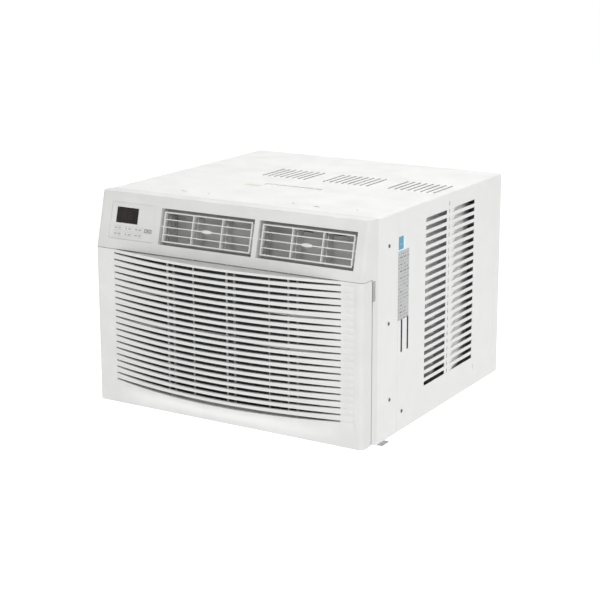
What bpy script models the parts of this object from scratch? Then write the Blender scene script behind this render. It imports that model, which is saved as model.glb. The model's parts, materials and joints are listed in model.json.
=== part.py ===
"""Window air conditioner: cabinet, room-side panel, air path and refrigeration parts.

The origin is on the ground under the middle of the overall box, +X is to the right seen from
the room, +Y points to the outdoor end and +Z is up. All lengths are metres.

Depths (y) are given from the seam between cabinet and room-side panel, positive into the
cabinet, and heights (z) from the bottom edge of the cabinet. y_at and z_at turn them into the
model's own frame.
"""

import math

import bmesh
import bpy
from mathutils import Matrix, Vector

# ---- Overall sizes ----
FRONT_WIDTH = 0.660          # across the room-side panel
PANEL_OVERHANG = 0.0014      # panel stands this far past the cabinet on each side
CABINET_HEIGHT = 0.470
CABINET_DEPTH = 0.594
PANEL_DEPTH = 0.061          # room-side panel at and below its split line
PANEL_TOP_DEPTH = 0.031      # the upper face leans back to this depth
GRILLE_BOW = 0.041           # how far the slats bow out beyond the panel
FOOT_HEIGHT = 0.014
UPPER_PANEL = 0.119          # from the split line to the top
PANEL_DROP = 0.007           # panel's bottom edge above the cabinet's

# ---- Walls and clearances ----
SHEET = 0.0012               # cabinet steel
PAN_SHEET = 0.0015
PLASTIC = 0.0028
GAP = 0.0003                 # between two faces that touch
RUNNING = 0.0006             # between a sliding piece and its guide
SEAM = 0.0010                # open line between panel and cabinet
PIN_CLEARANCE = 0.0003

# ---- Derived planes ----
OVERALL_DEPTH = CABINET_DEPTH + PANEL_DEPTH + GRILLE_BOW
SEAM_Y = PANEL_DEPTH + GRILLE_BOW - OVERALL_DEPTH / 2
SPLIT_HEIGHT = CABINET_HEIGHT - UPPER_PANEL
HALF_FRONT = FRONT_WIDTH / 2
HALF_CABINET = HALF_FRONT - PANEL_OVERHANG
INSIDE = HALF_CABINET - SHEET - GAP      # outermost x of what stands inside the cabinet
LEAN = math.atan2(PANEL_DEPTH - PANEL_TOP_DEPTH, UPPER_PANEL)

# ---- Cabinet ----
CABINET_BEND = 0.005
SIDE_SLOT_PITCH = 0.0170
SIDE_SLOT_HEIGHT = 0.0093
SIDE_SLOT_FIRST = 0.0715     # middle of the lowest slot
SIDE_SLOT_TOP = 0.0200       # nothing is slotted this near the top
SIDE_SLOT_COLUMNS = ((0.212, 0.312), (0.338, 0.452))
NARROW_SLOT_DEPTHS = (0.106, 0.133)
NARROW_SLOT_WIDTH = 0.0065
NARROW_SLOT_HEIGHTS = (0.170, 0.240)

# ---- Base pan ----
PAN_SIDE_LIP = 0.054
PAN_END_LIP = 0.026
PAN_END_GAP = 0.002          # pan stops this far inside both ends of the cabinet

# ---- Screws that hold the cabinet ----
TAB_SCREWS = ((0.048, CABINET_HEIGHT - 0.065), (0.048, 0.244), (0.055, 0.081))   # depth, height
PAN_SCREW = (0.110, 0.041)
SILL_PAD = 0.001              # pad pressed down from the pan's floor, which meets the sill
SILL_PAD_SIDE = 0.036         # its distance from the cabinet's sides
SILL_PAD_DEPTHS = (0.080, 0.460)
SCREW_HEAD_RADIUS = 0.0040
SCREW_HEAD = 0.0011
SCREW_RADIUS = 0.0019
SCREW_LENGTH = 0.0075
TAB_WIDTH = 0.020
TAB_THICKNESS = 0.0025
TAB_END = 0.010              # tab runs this far past its screw

# ---- Upper panel ----
EDGE_RADIUS = 0.010          # rounding of the panel's front edges
RECESS_SIDE = 0.031          # control recess, from the panel's left side
RECESS_WIDTH = 0.115
RECESS_SLOPE = (0.022, 0.101)            # measured up the leaning face
RECESS_DEPTH = 0.0035
RECESS_LEDGE = 0.004
RECESS_PAD = 0.006
OPENING_LOW = 0.0215         # outlet openings, measured up the leaning face
OPENING_HIGH = 0.0987
OPENING_SIDE = 0.026         # right outlet, from the panel's right side
RECESS_POST = 0.0165         # between control recess and left outlet
OUTLET_POST = (0.0650, 0.0765)           # x range of the post between the outlets
COLLAR_WALL = 0.0020
COLLAR_DEPTH = 0.050
RECESS_X = (-HALF_FRONT + RECESS_SIDE, -HALF_FRONT + RECESS_SIDE + RECESS_WIDTH)
OUTLETS = {
    "left": (RECESS_X[1] + RECESS_POST, OUTLET_POST[0]),
    "right": (OUTLET_POST[1], HALF_FRONT - OPENING_SIDE),
}

# ---- Lower frame behind the intake grille ----
FRAME_DEPTH = 0.022          # front of the fixed frame, ahead of the seam
FRAME_FLANGE = 0.020
FRAME_RAIL = 0.016
FILTER_SLOT = 0.0040         # open slot between fixed frame and grille

# ---- Intake grille ----
SLOT_SIDE = 0.048            # from the panel's side to the slots
SLOT_PITCH = 0.01406
SLOT_FIRST = 0.0607          # middle of the lowest slot
SLOT_HEIGHT = 0.0070
SLAT_DEPTH = 0.0060
TOP_SLAT = 0.0040            # least height of the slat above the topmost slot
BELLY_TOP_GAP = 0.0015       # the bowed skin's top edge, below the split line
BELLY_FOOT = 0.010           # the bow dies out at this height
BELLY_FULL = 0.054           # and is full from this height up
BELLY_LAP = 0.010            # the bowed skin laps over the tray's front this far
BOW_STEPS = 10
RISE_STEPS = 5
RIB_PITCH = 0.150
RIB_WIDTH = 0.0025
HINGE_AHEAD = 0.031          # hinge axis ahead of the seam
HINGE_HEIGHT = 0.016
HINGE_RADIUS = 0.0025
HINGE_RELIEF = 0.0021        # tray is cut away from here back, so that it clears the frame
EYE_RADIUS = 0.0053          # round eyes of ears and lugs
EYE_OPENING = 53             # degrees from the eye's stem to where its arc starts
EAR_SIDE = 0.030             # from the panel's side to the middle of a fixed ear
EAR_WIDTH = 0.006
LUG_WIDTH = 0.006
SLOT_HALF_SPAN = HALF_FRONT - SLOT_SIDE
EAR_X = HALF_FRONT - EAR_SIDE

# ---- Air filter ----
FILTER_THICKNESS = FILTER_SLOT - 2 * RUNNING
FILTER_LEFT = -HALF_FRONT + FRAME_FLANGE
FILTER_LOW = 0.026
FILTER_HIGH = SPLIT_HEIGHT - 0.005
FILTER_BORDER = 0.012
FILTER_BAR = 0.004
FILTER_CELLS = (4, 2)        # across, up
FILTER_MESH = 0.0010
TAB_HEIGHT = 0.040           # pull tab of the filter
TAB_REACH = 0.0100
TAB_DEPTH = 0.0016

# ---- Louvres and vanes ----
LOUVRE_MARGIN = 0.0062       # between louvre frame and opening
LOUVRE_AHEAD = 0.003         # louvre frame's front, below the leaning face
LOUVRE_DEPTH = 0.011
LOUVRE_BORDER = 0.0030
LOUVRE_BAR = 0.0022
LOUVRE_ROWS = 4
LOUVRE_COLUMNS = 3
GRIP_WIDTH = 0.026
GRIP_HEIGHT = 0.0075
GRIP_PROUD = 0.0030
LOUVRE_PIN = 0.0020
VANE_AXIS_DEPTH = 0.034
VANE_FRONT = 0.0235
VANE_BACK = 0.0450
VANE_THICKNESS = 0.0016
VANE_PIN = 0.0015
VANE_LOW = 0.0310
VANE_HIGH = 0.0945
LINK_ARM = 0.009
LINK_LOW = 0.0265
LINK_HIGH = 0.0290
LINK_PIN = 0.0011
LOUVRE_LOW = OPENING_LOW + LOUVRE_MARGIN
LOUVRE_HIGH = OPENING_HIGH - LOUVRE_MARGIN
LOUVRE_AXIS_SLOPE = (LOUVRE_LOW + LOUVRE_HIGH) / 2
LOUVRE_AXIS_DEPTH = LOUVRE_AHEAD + LOUVRE_DEPTH / 2

# ---- Controls ----
FASCIA = 0.0012
DISPLAY_WIDTH = 0.057
DISPLAY_SIDE = 0.014         # from the recess's left edge
DISPLAY_SLOPE = (0.057, 0.091)
KEY_PITCH = 0.027
KEY_COUNT = 3                # keys in a row
KEY_SIDE = 0.022             # middle of the first key, from the recess's left edge
KEY_ROWS = (0.0335, 0.0460)
KEY_SIZE = (0.022, 0.0085)
POWER_KEY_SIDE = 0.0145      # middle of the power key, from the recess's right edge
POWER_KEY_SLOPE = 0.0457
POWER_KEY_SIZE = (0.019, 0.0078)
KEY_PROUD = 0.0004
KEY_FLANGE = 0.0010
KEY_TRAVEL = 0.0008
SWITCH_SIZE = 0.005
BOARD_DEPTH = 0.0100
BOARD = 0.0016
FASCIA_FRONT = RECESS_DEPTH - GAP - FASCIA
DISPLAY_X = (RECESS_X[0] + DISPLAY_SIDE, RECESS_X[0] + DISPLAY_SIDE + DISPLAY_WIDTH)
BOX_SIDE = 0.0091            # control box, from the cabinet's inner face
BOX_WIDTH = 0.106
BOX_DEPTHS = (0.062, 0.160)
BOX_HEIGHTS = (SPLIT_HEIGHT + 0.001, CABINET_HEIGHT - 0.018)
CAPACITOR_RADIUS = 0.022
CAPACITOR_HEIGHT = 0.077
CAPACITOR_RIM = 0.002

# ---- Air path and fan ----
FAN_X = -0.060
FAN_HEIGHT = 0.212
COIL_DEPTHS = (0.008, 0.056)
COIL_X = (-INSIDE + 0.0421, INSIDE - 0.0571)
COIL_HEIGHTS = (0.022, SPLIT_HEIGHT - 0.019)
END_PLATE = 0.0015
PLATE_EDGE = 0.001           # end plates stand this far out of the fins
TRAY_WALL = 0.002
TRAY_HEIGHT = 0.032
TRAY_MARGIN = (0.006, 0.004)             # round the coil, across and in depth
HOUSING_DEPTHS = (0.064, 0.186)
HOUSING_WALL = 0.003
HOUSING_SKIN = 0.012         # least wall of the housing beside the scroll
BLOWER_RADIUS = 0.112
BLOWER_RING = 0.020          # radial width of the blade ring
BLOWER_DEPTHS = (0.078, 0.168)
BLOWER_BLADES = 24
BLOWER_BLADE = 0.0012
BLOWER_BLADE_CHORD = 0.018
BLOWER_BLADE_TURN = 35       # degrees
BLOWER_DISC = 0.002
BLOWER_HUB = 0.0144
BLOWER_HUB_LENGTH = 0.026
INLET_OVER = 0.006           # inlet's radius over the blades' inner radius
SCROLL_CLEARANCE = 0.018
DUCT_FRONT = 0.016
DUCT_HEIGHTS = (SPLIT_HEIGHT + 0.0055, CABINET_HEIGHT - 0.008)
BULKHEAD_DEPTH = 0.190
BULKHEAD = 0.0025
SHAFT_RADIUS = 0.006
SHAFT_FRONT = 0.088
SHAFT_PAST_FAN = 0.010
MOTOR_RADIUS = 0.062
MOTOR_DEPTHS = (0.290, 0.380)
MOTOR_CHAMFER = 0.008
MOTOR_BOSS = (0.018, 0.006)  # radius, length
BRACKET_SHEET = 0.0025
BRACKET_HALF = 0.0558        # half width of the motor's bracket
GUARD = 0.0012
GUARD_COLUMNS = 4
GUARD_ROWS = 12
GUARD_RIM = 0.022
GUARD_BAR = 0.010
CONDENSER_BACK = 0.013       # condenser's back, ahead of the cabinet's outdoor end
CONDENSER_DEPTH = 0.050
CONDENSER_SIDE = 0.0151      # from the cabinet's inner faces
CONDENSER_HEIGHTS = (0.004, CABINET_HEIGHT - 0.018)
SHROUD_GAP = 0.004           # between shroud and condenser
SHROUD_RING = 0.057          # depth of the shroud's ring
SHROUD_SHEET = 0.002
SHROUD_CLEARANCE = 0.006
SHROUD_SIDES = (0.0271, 0.0471)          # from the cabinet's inner faces, left and right
FAN_RADIUS = 0.186
FAN_LENGTH = 0.032
FAN_INSET = 0.013            # fan's back, ahead of the shroud's plate
FAN_HUB = 0.034
FAN_BLADES = 5
FAN_BLADE = 0.0024
FAN_BLADE_CHORD = 0.104
FAN_BLADE_TURN = 15          # degrees
SLINGER = 0.004              # radial thickness of the ring round the blades
SLINGER_LENGTH = 0.012
HOUSING_HALF = BLOWER_RADIUS + SCROLL_CLEARANCE + HOUSING_SKIN
BLOWER_INNER = BLOWER_RADIUS - BLOWER_RING
CONDENSER_DEPTHS = (CABINET_DEPTH - CONDENSER_BACK - CONDENSER_DEPTH, CABINET_DEPTH - CONDENSER_BACK)
CONDENSER_X = (-INSIDE + CONDENSER_SIDE, INSIDE - CONDENSER_SIDE)
SHROUD_DEPTHS = (CONDENSER_DEPTHS[0] - SHROUD_GAP - SHROUD_RING, CONDENSER_DEPTHS[0] - SHROUD_GAP)
SHROUD_X = (-INSIDE + SHROUD_SIDES[0], INSIDE - SHROUD_SIDES[1])
FAN_DEPTHS = (SHROUD_DEPTHS[1] - FAN_INSET - FAN_LENGTH, SHROUD_DEPTHS[1] - FAN_INSET)
SHAFT_DEPTHS = (SHAFT_FRONT, FAN_DEPTHS[1] + SHAFT_PAST_FAN)

# ---- Refrigeration ----
COMPRESSOR_PLACE = (INSIDE - 0.1151, BULKHEAD_DEPTH + 0.106)             # x, depth
COMPRESSOR_RADIUS = 0.070
COMPRESSOR_HEIGHTS = (0.026, 0.280)
COMPRESSOR_DOME = 0.030
COMPRESSOR_BOTTOM = (0.049, 0.018)       # radius of the flat bottom, height of its slope
COMPRESSOR_FOOT = 0.098
COMPRESSOR_ARMS = 3
FOOT_PLATE = 0.003
GROMMET_RADIUS = 0.0112
ARM_HALF = 0.014
ACCUMULATOR_PLACE = (INSIDE - 0.0231, BULKHEAD_DEPTH + 0.072)
ACCUMULATOR_RADIUS = 0.0195
ACCUMULATOR_HEIGHTS = (0.070, 0.225)
ACCUMULATOR_NECK = (0.008, 0.012)        # radius, height
SUCTION_RADIUS = 0.0064
DISCHARGE_RADIUS = 0.0048
CAPILLARY_RADIUS = 0.0015
PIPE_X = INSIDE - 0.0291     # tubes run along the right side here
PIPE_TURN = SHROUD_DEPTHS[0] - 0.020     # and turn towards the condenser at this depth
PIPE_BEND = 0.012
SUCTION_DEPTH = 0.036
SUCTION_LEVEL = 0.300
DISCHARGE_LEVEL = 0.350
CAPILLARY_LEVEL = 0.058
PIPE_HOLE = (0.036, 0.030)   # openings for the tubes in the bulkhead

# ---- Feet ----
BRACKET_SIDES = (0.0406, 0.0046)         # front brackets, from the cabinet's side
BRACKET_DEPTHS = (0.006, 0.064)
BRACKET_STEEL = 0.002
REAR_FOOT_SIDE = 0.0986      # middle of a rear foot, from the cabinet's side
REAR_FOOT_END = 0.094        # and from the outdoor end
REAR_FOOT_SIZE = (0.060, 0.030)


def y_at(depth):
    """Model y of a depth behind the seam."""
    return SEAM_Y + depth


def z_at(height):
    """Model z of a height above the cabinet's bottom edge."""
    return FOOT_HEIGHT + height


def spread(middle, size, margin=0.0):
    """Range of a size about its middle, widened by a margin at both ends."""
    return middle - size / 2 - margin, middle + size / 2 + margin


def repeated(first, last, pitch):
    """Places from first on, a pitch apart, none of them past last."""
    return [first + pitch * step for step in range(int((last - first) / pitch) + 1)]


# Frame of the leaning face: x across, y into the panel, z up the slope.
FACE = Matrix.Translation((0, y_at(-PANEL_DEPTH), z_at(SPLIT_HEIGHT))) @ Matrix.Rotation(-LEAN, 4, "X")


# ---- Solids ----
def solid_from(bm):
    """Link a finished bmesh as a plain object, its faces turned outwards."""
    bmesh.ops.recalc_face_normals(bm, faces=bm.faces)
    mesh = bpy.data.meshes.new("solid")
    bm.to_mesh(mesh)
    bm.free()
    solid = bpy.data.objects.new("solid", mesh)
    bpy.context.scene.collection.objects.link(solid)
    return solid


def prism(outline, axis, start, end, rounded=(), radius=0.0):
    """Extrude a flat outline along an axis; rounded lists the outline corners to fillet."""
    places = {
        "X": lambda a, b: (start, a, b),
        "Y": lambda a, b: (a, start, b),
        "Z": lambda a, b: (a, b, start),
    }
    step = {"X": Vector((1, 0, 0)), "Y": Vector((0, 1, 0)), "Z": Vector((0, 0, 1))}[axis]
    bm = bmesh.new()
    corners = [bm.verts.new(places[axis](a, b)) for a, b in outline]
    face = bm.faces.new(corners)
    raised = bmesh.ops.extrude_face_region(bm, geom=[face])["geom"]
    moved = [item for item in raised if isinstance(item, bmesh.types.BMVert)]
    bmesh.ops.translate(bm, verts=moved, vec=step * (end - start))
    if rounded:
        marked = {corners[index] for index in rounded}
        edges = [edge for edge in bm.edges
                 if len(marked & set(edge.verts)) == 1 and set(edge.verts) & set(moved)]
        bmesh.ops.bevel(bm, geom=edges, offset=radius, segments=4, profile=0.5, affect="EDGES")
    return solid_from(bm)


def block(x, y, z):
    """Box from three ranges in the model's frame."""
    return prism([(y[0], z[0]), (y[1], z[0]), (y[1], z[1]), (y[0], z[1])], "X", x[0], x[1])


def inner_block(x, depths, heights):
    """Box from x, depths behind the seam and heights above the cabinet's bottom edge."""
    return block(x, (y_at(depths[0]), y_at(depths[1])), (z_at(heights[0]), z_at(heights[1])))


def face_block(x, depths, slopes):
    """Box in the frame of the leaning face."""
    solid = block(x, depths, slopes)
    solid.data.transform(FACE)
    return solid


def rod(start, end, radius, sides=16):
    """Round bar between two points."""
    start = Vector(start)
    run = Vector(end) - start
    bm = bmesh.new()
    turn = run.to_track_quat("Z", "Y").to_matrix().to_4x4()
    bmesh.ops.create_cone(bm, cap_ends=True, segments=sides, radius1=radius, radius2=radius,
                          depth=run.length, matrix=Matrix.Translation(start + run / 2) @ turn)
    return solid_from(bm)


def face_rod(start, end, radius, sides=12):
    """Round bar between two points of the leaning face's frame (x, depth, slope)."""
    return rod(FACE @ Vector(start), FACE @ Vector(end), radius, sides)


def turned(profile, centre, axis, steps=32):
    """Turn a closed outline of (radius, along) points round an axis through centre."""
    along = {"Y": Vector((0, 1, 0)), "Z": Vector((0, 0, 1))}[axis]
    outward = Vector((1, 0, 0))
    centre = Vector(centre)
    bm = bmesh.new()
    points = [bm.verts.new(centre + outward * radius + along * height) for radius, height in profile]
    edges = [bm.edges.new((points[i], points[(i + 1) % len(points)])) for i in range(len(points))]
    bmesh.ops.spin(bm, geom=points + edges, cent=centre, axis=along, angle=math.tau,
                   steps=steps, use_merge=True)
    bmesh.ops.remove_doubles(bm, verts=bm.verts, dist=1e-6)
    bmesh.ops.dissolve_degenerate(bm, dist=1e-6, edges=bm.edges)
    loose = [edge for edge in bm.edges if not edge.link_faces]
    bmesh.ops.delete(bm, geom=loose, context="EDGES")
    return solid_from(bm)


def bent_route(points, radius, steps=4):
    """Round each inner corner of a route with an arc of the given radius."""
    route = [Vector(points[0])]
    for before, corner, after in zip(points, points[1:], points[2:]):
        corner = Vector(corner)
        back = (Vector(before) - corner).normalized()
        ahead = (Vector(after) - corner).normalized()
        half = back.angle(ahead) / 2
        reach = radius / math.tan(half)
        centre = corner + (back + ahead).normalized() * (radius / math.sin(half))
        first = (corner + back * reach - centre).normalized()
        last = (corner + ahead * reach - centre).normalized()
        for step in range(steps + 1):
            route.append(centre + first.slerp(last, step / steps) * radius)
    route.append(Vector(points[-1]))
    return route


def pipe(points, radius, bend):
    """Round tube along a route with rounded corners, its ends filled."""
    curve = bpy.data.curves.new("pipe", "CURVE")
    curve.dimensions = "3D"
    curve.bevel_depth = radius
    curve.bevel_resolution = 2
    curve.use_fill_caps = True
    route = bent_route(points, bend)
    spline = curve.splines.new("POLY")
    spline.points.add(len(route) - 1)
    for point, place in zip(spline.points, route):
        point.co = (*place, 1)
    guide = bpy.data.objects.new("pipe", curve)
    bpy.context.scene.collection.objects.link(guide)
    mesh = bpy.data.meshes.new_from_object(guide.evaluated_get(bpy.context.evaluated_depsgraph_get()))
    bpy.data.objects.remove(guide)
    bm = bmesh.new()
    bm.from_mesh(mesh)
    bpy.data.meshes.remove(mesh)
    bmesh.ops.remove_doubles(bm, verts=bm.verts, dist=1e-6)
    return solid_from(bm)


def group(solids):
    """Join solids that don't touch each other into one tool for a Boolean."""
    bm = bmesh.new()
    for solid in solids:
        bm.from_mesh(solid.data)
        bpy.data.objects.remove(solid)
    return solid_from(bm)


def combine(body, tool, operation):
    """Apply one exact Boolean to body and remove the tool."""
    modifier = body.modifiers.new("combine", "BOOLEAN")
    modifier.operation = operation
    modifier.solver = "EXACT"
    modifier.object = tool
    evaluated = body.evaluated_get(bpy.context.evaluated_depsgraph_get())
    mesh = bpy.data.meshes.new_from_object(evaluated)
    body.modifiers.clear()
    body.data = mesh
    bpy.data.objects.remove(tool)
    bm = bmesh.new()
    bm.from_mesh(mesh)
    bmesh.ops.remove_doubles(bm, verts=bm.verts, dist=1e-6)
    bm.to_mesh(mesh)
    bm.free()
    return body


def cut(body, *tools):
    """Take tools away from body."""
    for tool in tools:
        combine(body, tool, "DIFFERENCE")
    return body


def fuse(body, *tools):
    """Join tools onto body as one solid."""
    for tool in tools:
        combine(body, tool, "UNION")
    return body


# ---- Materials ----
def material(name, colour, roughness, metallic=0.0):
    """Plain Principled material."""
    finish = bpy.data.materials.new(name)
    finish.use_nodes = True
    shader = finish.node_tree.nodes["Principled BSDF"]
    shader.inputs["Base Color"].default_value = (*colour, 1)
    shader.inputs["Roughness"].default_value = roughness
    shader.inputs["Metallic"].default_value = metallic
    return finish


def make_materials():
    """All finishes of the machine by name."""
    return {
        "cabinet": material("cabinet_paint", (0.80, 0.80, 0.79), 0.45),
        "white": material("white_plastic", (0.82, 0.82, 0.81), 0.40),
        "dark": material("display_plastic", (0.035, 0.028, 0.026), 0.15),
        "key": material("key_plastic", (0.70, 0.70, 0.70), 0.40),
        "zinc": material("zinc_steel", (0.55, 0.56, 0.57), 0.40, 0.9),
        "black": material("black_paint", (0.02, 0.02, 0.02), 0.45),
        "rubber": material("rubber", (0.03, 0.03, 0.03), 0.85),
        "fins": material("coil_fins", (0.70, 0.72, 0.74), 0.35, 1.0),
        "copper": material("copper_tube", (0.72, 0.38, 0.24), 0.30, 1.0),
        "foam": material("grey_foam", (0.42, 0.42, 0.42), 0.80),
        "grey": material("grey_plastic", (0.25, 0.26, 0.27), 0.50),
        "board": material("circuit_board", (0.05, 0.20, 0.10), 0.50),
        "mesh": material("filter_mesh", (0.30, 0.31, 0.32), 0.70),
        "motor": material("motor_steel", (0.45, 0.46, 0.47), 0.35, 0.9),
        "aluminium": material("aluminium_can", (0.75, 0.76, 0.78), 0.30, 1.0),
    }


def finish(solid, name, surface, pivot=None):
    """Name a solid, dress it, shade it and put its origin on its joint's axis."""
    solid.name = name
    solid.data.name = name
    solid.data.materials.clear()
    solid.data.materials.append(surface)
    if pivot is not None:
        solid.data.transform(Matrix.Translation(-Vector(pivot)))
        solid.location = pivot
    solid.data.shade_smooth()
    solid.data.set_sharp_from_angle(angle=math.radians(35))
    return solid


# ---- Cabinet and base ----
def arc(centre, radius, start, end, steps=4):
    """Points of an arc given in degrees."""
    angles = [math.radians(start + (end - start) * step / steps) for step in range(steps + 1)]
    return [(centre[0] + radius * math.cos(a), centre[1] + radius * math.sin(a)) for a in angles]


def screw_places():
    """Depth and height of every cabinet screw of one side."""
    return TAB_SCREWS + (PAN_SCREW,)


def screw_holes(inner, outer):
    """Tools for the screw holes of both sides, between two x distances."""
    tools = []
    for depth, height in screw_places():
        for side in (-1, 1):
            tools.append(rod((side * inner, y_at(depth), z_at(height)),
                             (side * outer, y_at(depth), z_at(height)),
                             SCREW_RADIUS + PIN_CLEARANCE, 12))
    return tools


def make_cabinet(surface):
    """Folded steel cover, open below and at both ends, with louvre slots in its sides."""
    low, top = z_at(0), z_at(CABINET_HEIGHT)
    corner = HALF_CABINET - CABINET_BEND, top - CABINET_BEND
    inner = CABINET_BEND - SHEET
    outline = [(HALF_CABINET, low)]
    outline += arc(corner, CABINET_BEND, 0, 90)
    outline += arc((-corner[0], corner[1]), CABINET_BEND, 90, 180)
    outline += [(-HALF_CABINET, low), (-HALF_CABINET + SHEET, low)]
    outline += arc((-corner[0], corner[1]), inner, 180, 90)
    outline += arc(corner, inner, 90, 0)
    outline += [(HALF_CABINET - SHEET, low)]
    shell = prism(outline, "Y", y_at(0), y_at(CABINET_DEPTH))
    across = (-HALF_CABINET - SHEET, HALF_CABINET + SHEET)
    slots = []
    last = CABINET_HEIGHT - SIDE_SLOT_TOP - SIDE_SLOT_HEIGHT / 2
    for middle in repeated(SIDE_SLOT_FIRST, last, SIDE_SLOT_PITCH):
        heights = (middle - SIDE_SLOT_HEIGHT / 2, middle + SIDE_SLOT_HEIGHT / 2)
        for column in SIDE_SLOT_COLUMNS:
            slots.append(inner_block(across, column, heights))
    for depth in NARROW_SLOT_DEPTHS:
        depths = (depth - NARROW_SLOT_WIDTH / 2, depth + NARROW_SLOT_WIDTH / 2)
        slots.append(inner_block(across, depths, NARROW_SLOT_HEIGHTS))
    cut(shell, group(slots))
    cut(shell, group(screw_holes(HALF_CABINET - 2 * SHEET, HALF_CABINET + SHEET)))
    finish(shell, "cabinet_shell", surface)


def make_base_pan(surface):
    """Pressed tray that carries everything, its side lips screwed to the cabinet."""
    ends = (PAN_END_GAP, CABINET_DEPTH - PAN_END_GAP)
    pan = inner_block((-INSIDE, INSIDE), ends, (0, PAN_SIDE_LIP))
    pad = HALF_CABINET - SILL_PAD_SIDE
    fuse(pan, inner_block((-pad, pad), SILL_PAD_DEPTHS, (-SILL_PAD, SILL_PAD)))
    hollow_x = INSIDE - PAN_SHEET
    hollow_ends = (ends[0] + PAN_SHEET, ends[1] - PAN_SHEET)
    cut(pan, inner_block((-hollow_x, hollow_x), hollow_ends, (PAN_SHEET, PAN_SIDE_LIP + PAN_SHEET)))
    above = (PAN_END_LIP, PAN_SIDE_LIP + PAN_SHEET)
    cut(pan, inner_block((-hollow_x, hollow_x), (ends[0] - PAN_SHEET, hollow_ends[0] + GAP), above))
    cut(pan, inner_block((-hollow_x, hollow_x), (hollow_ends[1] - GAP, ends[1] + PAN_SHEET), above))
    depth, height = PAN_SCREW
    holes = [rod((side * (INSIDE - 2 * PAN_SHEET), y_at(depth), z_at(height)),
                 (side * (INSIDE + PAN_SHEET), y_at(depth), z_at(height)),
                 SCREW_RADIUS + PIN_CLEARANCE, 12) for side in (-1, 1)]
    cut(pan, group(holes))
    finish(pan, "base_pan", surface)


def make_screws(surface):
    """Pan-head screws, four in each side of the cabinet."""
    for side, side_name in ((-1, "left"), (1, "right")):
        for number, (depth, height) in enumerate(screw_places(), 1):
            seat = side * (HALF_CABINET + GAP)
            place = (y_at(depth), z_at(height))
            head = rod((seat, *place), (seat + side * SCREW_HEAD, *place), SCREW_HEAD_RADIUS, 12)
            shank = rod((seat + side * SCREW_HEAD / 2, *place), (seat - side * SCREW_LENGTH, *place),
                        SCREW_RADIUS, 8)
            fuse(head, shank)
            finish(head, f"cabinet_screw_{side_name}_{number}", surface)


def make_feet(steel, rubber):
    """Two bent brackets under the front edge and two rubber blocks further back."""
    for side, side_name in ((-1, "left"), (1, "right")):
        x = sorted(side * (HALF_CABINET - inset) for inset in BRACKET_SIDES)
        low, high = 0.0, FOOT_HEIGHT - GAP
        first, last = y_at(BRACKET_DEPTHS[0]), y_at(BRACKET_DEPTHS[1])
        middle = (first + last) / 2
        outline = [(first, high), (first, high - BRACKET_STEEL), (middle, high - BRACKET_STEEL),
                   (middle, low), (last, low), (last, low + BRACKET_STEEL),
                   (middle + BRACKET_STEEL, low + BRACKET_STEEL), (middle + BRACKET_STEEL, high)]
        finish(prism(outline, "X", *x), f"front_bracket_{side_name}", steel)
        half_x, half_y = REAR_FOOT_SIZE[0] / 2, REAR_FOOT_SIZE[1] / 2
        centre = side * (HALF_CABINET - REAR_FOOT_SIDE)
        depth = y_at(CABINET_DEPTH - REAR_FOOT_END)
        foot = block((centre - half_x, centre + half_x), (depth - half_y, depth + half_y), (low, high))
        finish(foot, f"rear_foot_{side_name}", rubber)


# ---- Room-side panel ----
def panel_prism(inset, back):
    """Leaning body of the upper panel, drawn in by inset on all closed sides."""
    low, high = z_at(SPLIT_HEIGHT) + inset, z_at(CABINET_HEIGHT) - inset
    normal = inset / math.cos(LEAN)
    rise = math.tan(LEAN)
    front_low = y_at(-PANEL_DEPTH) + normal + inset * rise
    front_high = y_at(-PANEL_TOP_DEPTH) + normal - inset * rise
    half = HALF_FRONT - inset
    outline = [(back, low), (front_low, low), (front_high, high), (back, high)]
    bm = bmesh.new()
    corners = [bm.verts.new((-half, y, z)) for y, z in outline]
    face = bm.faces.new(corners)
    raised = bmesh.ops.extrude_face_region(bm, geom=[face])["geom"]
    moved = [item for item in raised if isinstance(item, bmesh.types.BMVert)]
    bmesh.ops.translate(bm, verts=moved, vec=(2 * half, 0, 0))
    middle = (front_low + front_high) / 2
    leaning = [edge for edge in bm.edges
               if abs(edge.verts[0].co.x - edge.verts[1].co.x) < GAP
               and abs(sum(vert.co.y for vert in edge.verts) / 2 - middle) < GAP]
    bmesh.ops.bevel(bm, geom=leaning, offset=EDGE_RADIUS - inset, segments=4, profile=0.5,
                    affect="EDGES")
    return solid_from(bm)


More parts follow.
